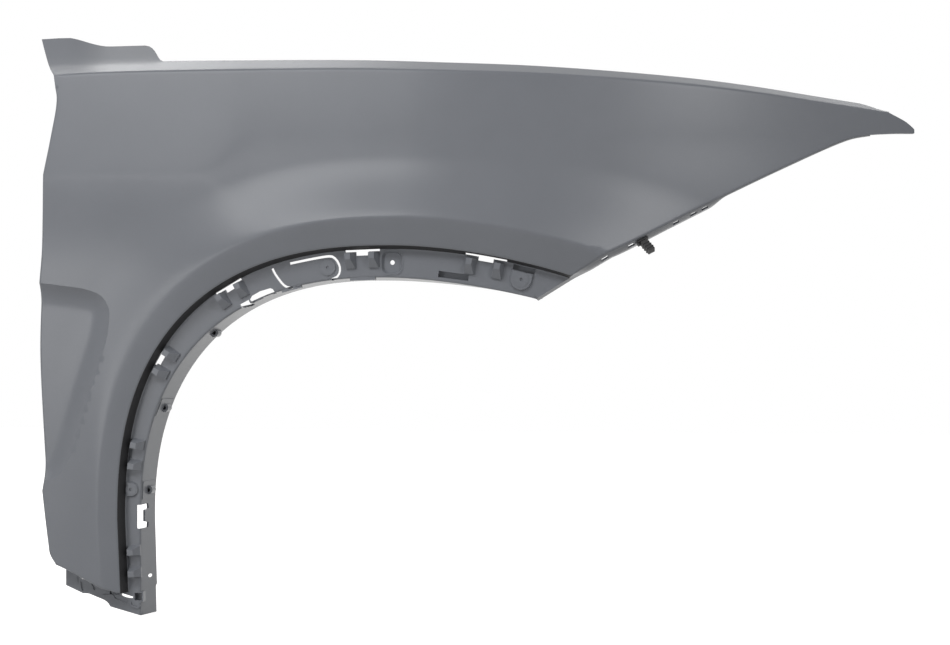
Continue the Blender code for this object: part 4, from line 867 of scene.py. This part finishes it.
def add_bracket_forms(adders):
    """The flat pad that is screwed to the sill, and the raised U-shaped ridges on the bracket's lip."""
    prism(adders, flat_frame(SILL_PAD), corners(*SILL_PAD), ROOT, SILL_PAD_HEIGHT)
    for path in RIDGES:
        prism(adders, flat_frame(path), ribbon(path, RIDGE_WIDTH), ROOT, RIDGE_RISE)


def add_bosses(pockets, adders, cutters):
    """The tongue's round boss and the two sloped pads with their discs, each with a dimple at its centre."""
    boss = flange_frame(*TONGUE_BOSS)
    prism(adders, boss, circle(TONGUE_BOSS_RADIUS, DISC_SIDES), ROOT, BOSS_HEIGHT)
    prism(cutters, boss, circle(DIMPLE_RADIUS), BOSS_HEIGHT - DIMPLE_DEPTH)
    for place, radius, straight in SLOPED_PADS:
        frame = flange_frame(*place)
        taper(adders, frame, d_shape(radius, straight), d_shape(radius - PAD_DRAFT, straight), ROOT, PAD_RISE)
        prism(pockets, frame, circle(radius * PAD_DISC, DISC_SIDES), -WALL / 4, PAD_RISE + PAD_DISC_RISE)
        prism(cutters, frame, circle(DIMPLE_RADIUS), PAD_RISE - DIMPLE_DEPTH)


def cup_outline(height):
    """Outline of the cup's sloped wall at a height above the flange."""
    return rounded(*CUP_SIZE, CUP_CORNER, CUP_SLOPE * (height - CUP_RIM))


def add_cup(pockets, adders):
    """The cup's body behind the flange and the thin rim around its mouth."""
    frame = flange_frame(*CUP_PLACE)
    prism(pockets, frame, rounded(*CUP_SIZE, CUP_CORNER), -CUP_DEPTH - POCKET_FLOOR, POCKET_ROOT)
    prism(adders, frame, rounded(*CUP_SIZE, CUP_CORNER, CUP_RIM_WIDTH), ROOT, CUP_RIM)


def add_liner_features(adders, cutters):
    """Fixing bosses on the liner return, the hole and step at its foot, the tabs on its front rim."""
    for angle in LINER_BOSSES:
        frame = outboard_frame(liner_frame(angle, SCREW_DEPTH).translation, 0.0)
        prism(adders, frame, circle(SCREW_RADIUS, DISC_SIDES), -SCREW_ROOT, SCREW_FRONT)
        prism(cutters, frame, circle(SCREW_HOLE),
              SCREW_FRONT - SCREW_HOLE_DEPTH, SCREW_FRONT + WALL)
    frame = outboard_frame(foot_frame(FOOT_HOLE_Z, SCREW_DEPTH).translation, FOOT_HOLE_TURN)
    prism(cutters, frame, circle(FOOT_HOLE_RADIUS), -FOOT_HOLE_REACH, FOOT_HOLE_REACH)
    far, end = LINER_DEPTH + CUT_REACH - FOOT_STEP_DEPTH, FOOT_STEP_Z - CORNER_BOTTOM + CUT_REACH
    outline = [(0.0, FOOT_STEP_CORNER), (FOOT_STEP_CORNER, 0.0), (far, 0.0), (far, end), (0.0, end)]
    frame = foot_frame(FOOT_STEP_Z, FOOT_STEP_DEPTH)
    downward = -1.0 if frame.col[0].z > 0.0 else 1.0
    prism(cutters, frame, [(downward * y, x) for x, y in outline])
    for angle, length in RIM_TABS:
        tab = rectangle(length, RIM_TAB_DEPTH - WALL / 2)
        prism(adders, liner_frame(angle, RIM_TAB_DEPTH / 2), tab, ROOT, RIM_TAB_HEIGHT)


def pad_frame(x, lines):
    """Level frame on the top of a pad of the bonnet rail, x along the rail."""
    slope = plan_slope(x)
    brow = ledge_brow(x, height_at(lines.top[::-1], x))
    middle = brow + Vector((0.0, RAIL_DRAFT + RAIL_WIDTH / 2, -RAIL_DROP))
    along, side = Vector((1.0, slope, 0.0)).normalized(), Vector((-slope, 1.0, 0.0)).normalized()
    return frame_at(middle + Vector((0.0, 0.0, PAD_HEIGHT)), along, side, Vector((0.0, 0.0, 1.0)))


def add_rail_pads(adders, cutters, lines):
    """Flat pads with a slotted hole, where the panel bolts to the body."""
    for x in PAD_PLACES:
        frame = pad_frame(x, lines)
        prism(adders, frame, rectangle(*PAD_SIZE), -PAD_HEIGHT - WALL / 2, 0.0)
        prism(cutters, frame, rounded(*PAD_SLOT), -3 * CUT_REACH)


def return_frame(x, lines):
    """Frame on the front return's outer face: x along the edge, y away from the panel, z outboard."""
    fronts = lines.front[:lines.returned]
    z = height_at(fronts, x)
    rows = return_rows(lines, [(x - PROBE_STEP, z), (x, z), (x + PROBE_STEP, z)])
    high, low = rows[1][1], rows[2][1]
    k = min(range(len(fronts) - 1), key=lambda i: abs((fronts[i][0] + fronts[i + 1][0]) / 2 - x))
    near, far = return_rows(lines, [fronts[k], fronts[k + 1]])[2]
    along = (far - near).normalized()
    away = (low - high).normalized().cross(along).normalized()
    if away.z > 0.0:
        away = -away
    return frame_at(high.lerp(low, 0.5), along, away, along.cross(away))


def cut_front_return(cutters, lines):
    """Slots for the bumper's hooks and the square hole of the clip."""
    for x in RETURN_SLOTS:
        box(cutters, return_frame(x, lines), RETURN_SLOT_SIZE, MIDDLE)
    hole = (CLIP_NECK[0] + 2 * CLEARANCE, 6 * WALL, CLIP_NECK[1] + 2 * CLEARANCE)
    box(cutters, return_frame(CLIP_PLACE, lines), hole, MIDDLE)


def offset(line, shift, first=0, last=-1):
    """A line moved to its left, easing to nothing at both ends of a stretch between two points."""
    points = np.array(line)
    along = np.gradient(points, axis=0)
    along /= np.linalg.norm(along, axis=1)[:, None]
    marks = marks_along(points)
    moved = []
    for (x, z), (tx, tz), mark in zip(points, along, marks):
        push = shift * smooth(min(mark - marks[first], marks[last] - mark) / ROUND_EASE)
        moved.append((float(x - tz * push), float(z + tx * push)))
    return moved


class Outlines:
    """The boundary lines that neighbouring surfaces share, point for point."""

    def __init__(self):
        step = SURFACE_STEP
        self.edge = arch_line(SKIN_EDGE, LEG_BOTTOM)
        self.foot = arch_line(STEP_FOOT, LEG_BOTTOM)
        self.inner = arch_line(INNER_EDGE, CORNER_BOTTOM)
        self.liner = arch_line(LINER_BACK, CORNER_BOTTOM)
        self.crease = arch_line(FLARE_CREASE, BOTTOM_CREASE_Z)
        self.front = joined(even([self.edge[-1], self.crease[-1]], step),
                            spline([self.crease[-1]] + FRONT_LINE + [NOSE_TIP[0]], step))
        self.tip = spline(NOSE_TIP, TIP_STEP)
        self.top = spline([NOSE_TIP[-1]] + TOP_LINE + [TOP_REAR], step)
        self.rear = joined(spline([TOP_REAR] + REAR_UPPER + [CREASE_START], step),
                           spline([CREASE_START] + REAR_MIDDLE + [SCALLOP_TOP], step),
                           spline([SCALLOP_TOP] + REAR_LOWER + [SCALLOP_FOOT], step),
                           even([SCALLOP_FOOT, REAR_KINK], step),
                           spline([REAR_KINK] + REAR_FOOT + [BOTTOM_REAR], step))
        self.bottom = joined(even([BOTTOM_REAR, self.crease[0]], step),
                             even([self.crease[0], self.edge[0]], step))
        shares = [k / (len(self.bottom) - 1) for k in range(len(self.bottom))]
        self.bottom_foot = [(mix(BRACKET_REAR_TOP[0], self.foot[0][0], t),
                             mix(BRACKET_REAR_TOP[1], self.foot[0][1], t)) for t in shares]
        self.flange_cut = even([self.foot[-1], self.inner[-1]], step)
        self.edge_in = offset(self.edge, EDGE_ROUND)
        self.foot_in = offset(self.foot, -FOOT_ROUND)
        self.inner_in = offset(self.inner, EDGE_ROUND)
        self.top_in = offset(self.top, CREASE_ROUND)
        self.bottom_in = offset(self.bottom, EDGE_ROUND)
        hem = [k for k, p in enumerate(self.rear)
               if BOTTOM_REAR[1] + HEM_GAP < p[1] < TOP_REAR[1] - HEM_GAP]
        self.hem = slice(hem[0], hem[-1] + 1)
        self.rear_in = offset(self.rear, EDGE_ROUND, hem[0], hem[-1])
        self.returned = sum(p[0] <= FRONT_HEM_END for p in self.front)
        self.front_in = offset(self.front, EDGE_ROUND, 0, self.returned - 1)

    def skin_loop(self):
        """The closed outline of the skin, inside its rounded edges."""
        return closed(self.edge_in, self.front_in, self.tip, self.top_in, self.rear_in, self.bottom_in)

    def flange_loop(self):
        """The closed outline of the flange and the bracket, inside their rounded edges."""
        bracket = even([self.inner[0]] + BRACKET_OUTLINE, SURFACE_STEP)
        end = even([BRACKET_OUTLINE[-1], self.bottom_foot[0]], SURFACE_STEP)
        return closed(self.foot_in, self.flange_cut, self.inner_in[::-1], bracket, end, self.bottom_foot)

    def skin_lines(self):
        """The creases in the skin, and lines close by on both sides of the flare's."""
        beside = [arch_line(grown_arch(FLARE_CREASE, shift), BOTTOM_CREASE_Z) for shift in CREASE_BESIDE]
        return ([self.snapped(mid_crease()), self.snapped(SCALLOP_CURVE)]
                + [line[BESIDE_SHORT:-BESIDE_SHORT] for line in beside] + [self.snapped(self.crease)])

    def snapped(self, line):
        """A line whose ends on the skin's outline are moved to the inset outline."""
        for outer, inset in ((self.rear, self.rear_in), (self.bottom, self.bottom_in),
                             (self.front, self.front_in)):
            for p, q in zip(outer, inset):
                if math.dist(p, line[0]) < MERGE:
                    line = [q] + [r for r in line[1:] if math.dist(q, r) > SURFACE_STEP / 2]
                if math.dist(p, line[-1]) < MERGE:
                    line = [r for r in line[:-1] if math.dist(q, r) > SURFACE_STEP / 2] + [q]
        return line


def fill(mesh, loop, creases, depth, step):
    """Triangulate a closed X-Z outline with its creases and lift each point to its depth."""
    points = list(loop)
    edges = [(k, (k + 1) % len(loop)) for k in range(len(loop))]
    for line in creases:
        known = np.array(points)
        ids = []
        for p in line:
            gaps = np.hypot(known[:, 0] - p[0], known[:, 1] - p[1])
            near = int(gaps.argmin())
            if gaps[near] >= MERGE:
                near = len(points)
                points.append(p)
            ids.append(near)
        edges += list(zip(ids, ids[1:]))
    points += grid_points(points, edges, len(loop), step)
    flat = [Vector(p) for p in points]
    verts, _, faces, origins, _, _ = delaunay_2d_cdt(flat, edges, [list(range(len(loop)))], 1, FILL_LIMIT)
    lifted = []
    for place, origin in zip(verts, origins):
        x, z = points[origin[0]] if origin else (place.x, place.y)
        lifted.append(mesh.verts.new((x, depth(x, z), z)))
    for face in faces:
        mesh.faces.new([lifted[k] for k in face])


def bend(a, corner, b):
    """Rows of a rounded corner from one row round to another, with both of them."""
    rows = []
    for t in (k / ROUND_STEPS for k in range(ROUND_STEPS + 1)):
        rows.append([p * (1 - t) ** 2 + c * (2 * t * (1 - t)) + q * t ** 2 for p, c, q in zip(a, corner, b)])
    return rows


def toward(corner, far, inset):
    """Points from each corner towards a far row, as far off as the inset row is."""
    made = []
    for c, f, a in zip(corner, far, inset):
        way = f - c
        made.append(c + way.normalized() * min((a - c).length, ROUND_SHARE * way.length))
    return made


def turned(inset, corner, far):
    """Rows of the rounded corner from a surface's inset row to the wall that runs to a far row."""
    return bend(inset, corner, toward(corner, far, inset))


def add_ledge(mesh, lines):
    """The ledge beside the bonnet, with the rail that bolts to the body below it."""
    rows = [[ledge_point(x, z, share * ledge_width(x)) for x, z in lines.top] for share in LEDGE_SHARES]
    strip(mesh, turned(on_skin(lines.top_in), on_skin(lines.top), rows[0]) + rows)
    brow = [ledge_brow(x, z) for x, z in lines.top if RAIL_ENDS[0] <= x <= RAIL_ENDS[1]]
    sill = [p + Vector((0.0, RAIL_DRAFT, -RAIL_DROP)) for p in brow]
    rim = [p + Vector((0.0, RAIL_WIDTH, 0.0)) for p in sill]
    strip(mesh, [brow, between(brow, sill, 0.5), sill, between(sill, rim, 0.5), rim])


def add_hem(mesh, lines):
    """The return along the rear edge, short of both corners."""
    corner = on_skin(lines.rear[lines.hem])
    end = [p + Vector((0.0, HEM_DEPTH, 0.0)) for p in corner]
    strip(mesh, turned(on_skin(lines.rear_in[lines.hem]), corner, end) + [between(corner, end, HEM_ROW), end])


def return_rows(lines, points):
    """Rows of the front return behind the given points of the front edge."""
    (foot_x, foot_z), (edge_x, edge_z) = lines.foot[-1], lines.edge[-1]
    depth = flange_depth(foot_x, foot_z) - skin_depth(edge_x, edge_z)
    start = Vector((edge_x, 0.0, edge_z))
    drift = Vector((foot_x, 0.0, foot_z)) - start
    bulge, place, bulge_reach = RETURN_BULGE
    rows = []
    for share, splay, extra in RETURN_ROWS:
        row = []
        for x, z in points:
            blend = smooth((Vector((x, 0.0, z)) - start).length / FRONT_BLEND)
            size = mix(1.0, FRONT_HEM_SHARE, smooth((x - RETURN_END) / RETURN_FADE))
            spread = mix(LIP_START, 1.0, blend) if extra else splay * blend
            reach = RETURN_SPLAY + bulge * math.exp(-((x - place) / bulge_reach) ** 2)
            side = drift * share * (1.0 - blend) + cut_normal() * (reach * spread * size)
            inward = Vector((0.0, (depth * share + RETURN_LIP * extra) * size, 0.0))
            row.append(on_skin([(x, z)])[0] + side + inward)
        rows.append(row)
    return rows


def add_front_return(mesh, lines):
    """The wall behind the front edge, which the bumper's edge follows."""
    rows = return_rows(lines, lines.front[:lines.returned])
    strip(mesh, turned(on_skin(lines.front_in[:lines.returned]), rows[0], rows[1]) + rows[1:])
    lower = on_flange(lines.flange_cut)
    lip = cut_normal() * (RETURN_SPLAY * LIP_START) + Vector((0.0, RETURN_LIP, 0.0))
    strip(mesh, [lower, [p + lip for p in lower]])


def panel_sheet(lines):
    """The outer face of the whole moulding as one welded sheet."""
    mesh = bmesh.new()
    fill(mesh, lines.skin_loop(), lines.skin_lines(), skin_depth, SURFACE_STEP)
    fill(mesh, lines.flange_loop(), [], flange_depth, FLANGE_STEP)
    edge, foot, foot_in = on_skin(lines.edge), on_flange(lines.foot), on_flange(lines.foot_in)
    strip(mesh, turned(on_skin(lines.edge_in), edge, foot) + [between(edge, foot, 0.5)]
          + bend(toward(foot, edge, foot_in), foot, foot_in))
    inner, back = on_flange(lines.inner), on_flange(lines.liner, LINER_DEPTH)
    strip(mesh, turned(on_flange(lines.inner_in), inner, back)
          + [between(inner, back, share) for share in LINER_ROWS] + [back])
    bottom, bottom_foot = on_skin(lines.bottom), on_flange(lines.bottom_foot)
    strip(mesh, turned(on_skin(lines.bottom_in), bottom, bottom_foot)
          + [between(bottom, bottom_foot, 0.5), bottom_foot])
    add_ledge(mesh, lines)
    add_hem(mesh, lines)
    add_front_return(mesh, lines)
    bmesh.ops.remove_doubles(mesh, verts=mesh.verts, dist=MERGE)
    bmesh.ops.delete(mesh, geom=[v for v in mesh.verts if not v.link_faces], context="VERTS")
    bmesh.ops.recalc_face_normals(mesh, faces=mesh.faces)
    if sum(face.normal.y * face.calc_area() for face in mesh.faces) > 0.0:
        bmesh.ops.reverse_faces(mesh, faces=mesh.faces)
    return mesh


def soften(mesh, width):
    """Round the sharp edges of the bodies in a mesh."""
    edges = [e for e in mesh.edges if len(e.link_faces) == 2 and e.calc_face_angle() > SHARP_ANGLE]
    bmesh.ops.bevel(mesh, geom=edges, offset=width, segments=2, profile=ROUND_PROFILE,
                    affect="EDGES", clamp_overlap=True)


def linked(name, data):
    """A new object in the scene."""
    made = bpy.data.objects.new(name, data)
    bpy.context.scene.collection.objects.link(made)
    return made


def new_object(name, mesh):
    data = bpy.data.meshes.new(name)
    mesh.to_mesh(data)
    mesh.free()
    made = linked(name, data)
    made.location = -ORIGIN
    return made


def solid_copy(source, tools, finish):
    """The modified mesh as a plain one, smooth with sharp corners kept, without its tools."""
    bpy.context.view_layer.update()
    shaped = source.evaluated_get(bpy.context.evaluated_depsgraph_get())
    data = bpy.data.meshes.new_from_object(shaped)
    source.modifiers.clear()
    old, source.data = [source.data], data
    for tool in tools:
        old.append(tool.data)
        bpy.data.objects.remove(tool)
    for shape in old:
        bpy.data.meshes.remove(shape)
    data.materials.clear()
    data.materials.append(finish)
    data.shade_smooth()
    data.set_sharp_from_angle(angle=SHARP_ANGLE)
    source.modifiers.new("weighted", "WEIGHTED_NORMAL").keep_sharp = True
    return source


def join(target, tool, operation, crossing=False):
    """Join a tool to a target; a crossing tool's own bodies may overlap."""
    modifier = target.modifiers.new(tool.name, "BOOLEAN")
    modifier.operation, modifier.object, modifier.solver = operation, tool, "EXACT"
    modifier.use_self = crossing


def build_panel(lines, finish):
    """The moulding: its sheet given a wall, its small forms added and its open spaces cut."""
    panel = new_object("fender_panel_detail", panel_sheet(lines))
    shell = panel.modifiers.new("wall", "SOLIDIFY")
    shell.thickness, shell.offset = WALL, -1.0
    shell.use_even_offset = shell.use_quality_normals = True
    adders, pockets, cutters, deep_cutters = (bmesh.new() for _ in range(4))
    add_cleats(adders)
    add_pockets(pockets)
    add_cup(pockets, adders)
    add_bracket_forms(adders)
    cut_through(deep_cutters)
    add_bosses(pockets, adders, cutters)
    add_liner_features(adders, cutters)
    add_rail_pads(adders, cutters, lines)
    cut_cleat_slots(cutters)
    cut_flange(cutters)
    cut_front_return(cutters, lines)
    soften(adders, FORM_ROUND)
    tools = [new_object("pockets", pockets), new_object("added_forms", adders),
             new_object("open_spaces", cutters), new_object("deep_spaces", deep_cutters)]
    for k, operation in enumerate(("UNION", "UNION", "DIFFERENCE", "DIFFERENCE")):
        join(panel, tools[k], operation, crossing=k == 0)
    return solid_copy(panel, tools, finish)


def keep_inside(made, low, high):
    """Hold the finer outline within the box of the plainer solids."""
    for vertex in made.data.vertices:
        vertex.co = [min(max(c, l + o), h + o) for c, l, h, o in zip(vertex.co, low, high, ORIGIN)]


def paint_step_shade(panel, dark):
    """Paint shade on the narrow wall between the skin's edge and the flange: a dark colour in place of the
    shadow in that gap.
    """
    panel.data.materials.append(dark)
    for face in panel.data.polygons:
        x, y, z = face.center
        if z < LEG_BOTTOM or abs(face.normal.y) > STEP_FACING or z < cut_height(x) and x > CUT_LOW[0]:
            continue
        if STEP_WALL[0] < arch_distance(SKIN_EDGE, x, z) < STEP_WALL[1] and y < flange_depth(x, z):
            face.material_index = 1


def build_clip(lines, finish):
    """The clip: head on the return's outer face, neck through its wall, barb behind, ribbed peg in front."""
    frame = return_frame(CLIP_PLACE, lines)
    head_top = CLIP_SEAT + CLIP_HEAD[1]
    barb_top = -WALL - BARB_GAP
    neck = (CLIP_NECK[0], head_top - barb_top + WALL, CLIP_NECK[1])
    boxes = [(CLIP_HEAD, CLIP_SEAT + CLIP_HEAD[1] / 2), (neck, (head_top + barb_top - WALL) / 2),
             (CLIP_BARB, barb_top - CLIP_BARB[1] / 2), (CLIP_SHANK, head_top - WALL / 2 + CLIP_SHANK[1] / 2)]
    boxes += [(CLIP_RIB, head_top + place) for place in CLIP_RIBS]
    pieces = []
    for k, (size, out) in enumerate(boxes):
        mesh = bmesh.new()
        box(mesh, frame, size, (0.0, out, 0.0))
        soften(mesh, CLIP_ROUND)
        pieces.append(new_object(f"clip_{k}", mesh))
    for tool in pieces[1:]:
        join(pieces[0], tool, "UNION")
    clip = solid_copy(pieces[0], pieces[1:], finish)
    clip.name = "bumper_guide_clip_detail"
    return clip


class Nodes:
    """The shader nodes of a material or a world, and the ways to add and link them."""

    def __init__(self, owner):
        owner.use_nodes = True
        self.tree = owner.node_tree
        self.shader = self.tree.nodes.get("Principled BSDF")

    def add(self, kind, **values):
        """Add a node and give its properties or sockets their values."""
        node = self.tree.nodes.new(kind)
        for name, value in values.items():
            if hasattr(node, name):
                setattr(node, name, value)
            else:
                node.inputs[name.replace("_", " ")].default_value = value
        return node

    def link(self, source, target):
        self.tree.links.new(source, target)

    def maths(self, operation, a, b):
        """Output of a sum of two outputs, or of an output and a number."""
        node = self.add("ShaderNodeMath", operation=operation)
        for value, socket in zip((a, b), node.inputs):
            if isinstance(value, float):
                socket.default_value = value
            else:
                self.link(value, socket)
        return node.outputs[0]

    def spread(self, source, low, high):
        """Output that runs from low to high as the source runs from 0 to 1."""
        node = self.add("ShaderNodeMapRange", To_Min=low, To_Max=high)
        self.link(source, node.inputs["Value"])
        return node.outputs["Result"]

    def seen(self):
        """Output that is 1 for rays that show a surface: camera, mirror-like and see-through ones."""
        path = self.add("ShaderNodeLightPath").outputs
        either = self.maths("MAXIMUM", path["Is Camera Ray"], path["Is Glossy Ray"])
        return self.maths("MAXIMUM", either, path["Is Transmission Ray"])


def plain_material(name, **values):
    """A material with constant values, and its nodes."""
    made = bpy.data.materials.new(name)
    nodes = Nodes(made)
    for socket, value in values.items():
        nodes.shader.inputs[socket.replace("_", " ")].default_value = value
    return made, nodes


def noisy_material(look, **values):
    """A material whose tone, gloss and relief vary with noise in the object's own space."""
    made, nodes = plain_material(look.name, **values)
    place = nodes.add("ShaderNodeTexCoord")
    noises = {}
    for grain in [grain for grain, *_ in look.tones + [look.gloss, look.relief]]:
        if grain not in noises:
            scale, detail, roughness = grain
            noise = nodes.add("ShaderNodeTexNoise", Scale=scale, Detail=detail, Roughness=roughness)
            nodes.link(place.outputs["Object"], noise.inputs["Vector"])
            noises[grain] = noise.outputs["Fac"]
    tones = [nodes.spread(noises[grain], low, high) for grain, low, high in look.tones]
    colour = nodes.add("ShaderNodeVectorMath", operation="SCALE")
    colour.inputs[0].default_value = look.colour
    nodes.link(tones[0] if len(tones) == 1 else nodes.maths("MULTIPLY", *tones), colour.inputs["Scale"])
    nodes.link(colour.outputs[0], nodes.shader.inputs["Base Color"])
    grain, low, high = look.gloss
    nodes.link(nodes.spread(noises[grain], low, high), nodes.shader.inputs["Roughness"])
    grain, strength, distance = look.relief
    bump = nodes.add("ShaderNodeBump", Strength=strength, Distance=distance)
    nodes.link(noises[grain], bump.inputs["Height"])
    nodes.link(bump.outputs["Normal"], nodes.shader.inputs["Normal"])
    return made


def build_world():
    """Pale even light; white where it is seen directly or in a reflection."""
    world = bpy.data.worlds.new("studio")
    bpy.context.scene.world = world
    nodes = Nodes(world)
    world.node_tree.nodes.clear()
    mixed = nodes.add("ShaderNodeMixShader")
    nodes.link(nodes.seen(), mixed.inputs[0])
    for strength, socket in zip((WORLD_LIGHT, 1.0), mixed.inputs[1:]):
        light = nodes.add("ShaderNodeBackground", Color=WHITE, Strength=strength)
        nodes.link(light.outputs[0], socket)
    nodes.link(mixed.outputs[0], nodes.add("ShaderNodeOutputWorld").inputs["Surface"])


def build_floor(height):
    """Pale floor that is seen as white away from the object and keeps its shadow."""
    mesh = bmesh.new()
    mesh.faces.new([mesh.verts.new((x, y, 0.0)) for x, y in rectangle(FLOOR_SIDE, FLOOR_SIDE)])
    floor = new_object("studio_floor", mesh)
    floor.location = (0.0, 0.0, height)
    made, nodes = plain_material("studio_floor", **FLOOR_LOOK)
    nodes.link(nodes.maths("MULTIPLY", nodes.seen(), FLOOR_WHITE), nodes.shader.inputs["Emission Strength"])
    floor.data.materials.append(made)
    return floor


def build_lamps():
    for name, (place, aim, size, power) in LAMPS.items():
        data = bpy.data.lights.new(name, "AREA")
        data.shape = "RECTANGLE"
        data.size, data.size_y = size
        data.energy = power
        lamp = linked(name, data)
        lamp.location = place
        lamp.rotation_euler = (Vector(aim) - Vector(place)).to_track_quat("-Z", "Y").to_euler()


def build_camera():
    data = bpy.data.cameras.new("camera")
    data.lens, data.sensor_width, data.clip_end = CAMERA_LENS, CAMERA_SENSOR, CAMERA_END
    camera = linked("camera", data)
    away = Vector((math.sin(CAMERA_AZIMUTH), -math.cos(CAMERA_AZIMUTH), 0.0))
    camera.location = CAMERA_AIM + away * CAMERA_DISTANCE - ORIGIN
    camera.rotation_euler = (math.pi / 2, 0.0, CAMERA_AZIMUTH)
    bpy.context.scene.camera = camera


STEP_FOOT = grown_arch(SKIN_EDGE, -STEP_DRAFT)
SCALLOP_CURVE = spline([SCALLOP_TOP] + SCALLOP_LIP + [SCALLOP_FOOT], LIP_STEP)
SCALLOP_FRONT = max(x for x, z in SCALLOP_CURVE)

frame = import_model()
cad_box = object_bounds()
outlines = Outlines()
panel = build_panel(outlines, noisy_material(PRIMER, **PRIMER_FILM))
keep_inside(panel, *cad_box)
# The step wall gets the painted shade, a dark colour in place of its shadow
paint_step_shade(panel, plain_material("painted_step_shade", **STEP_SHADE)[0])
clip = build_clip(outlines, noisy_material(PLASTIC))
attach(panel, "root")
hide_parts("fender_panel")
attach(clip, "root")
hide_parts("bumper_guide_clip")
floor = build_floor(cad_box[0][2] - FLOOR_DROP)
build_world()
build_lamps()
build_camera()
bpy.context.scene.view_settings.view_transform = "Standard"
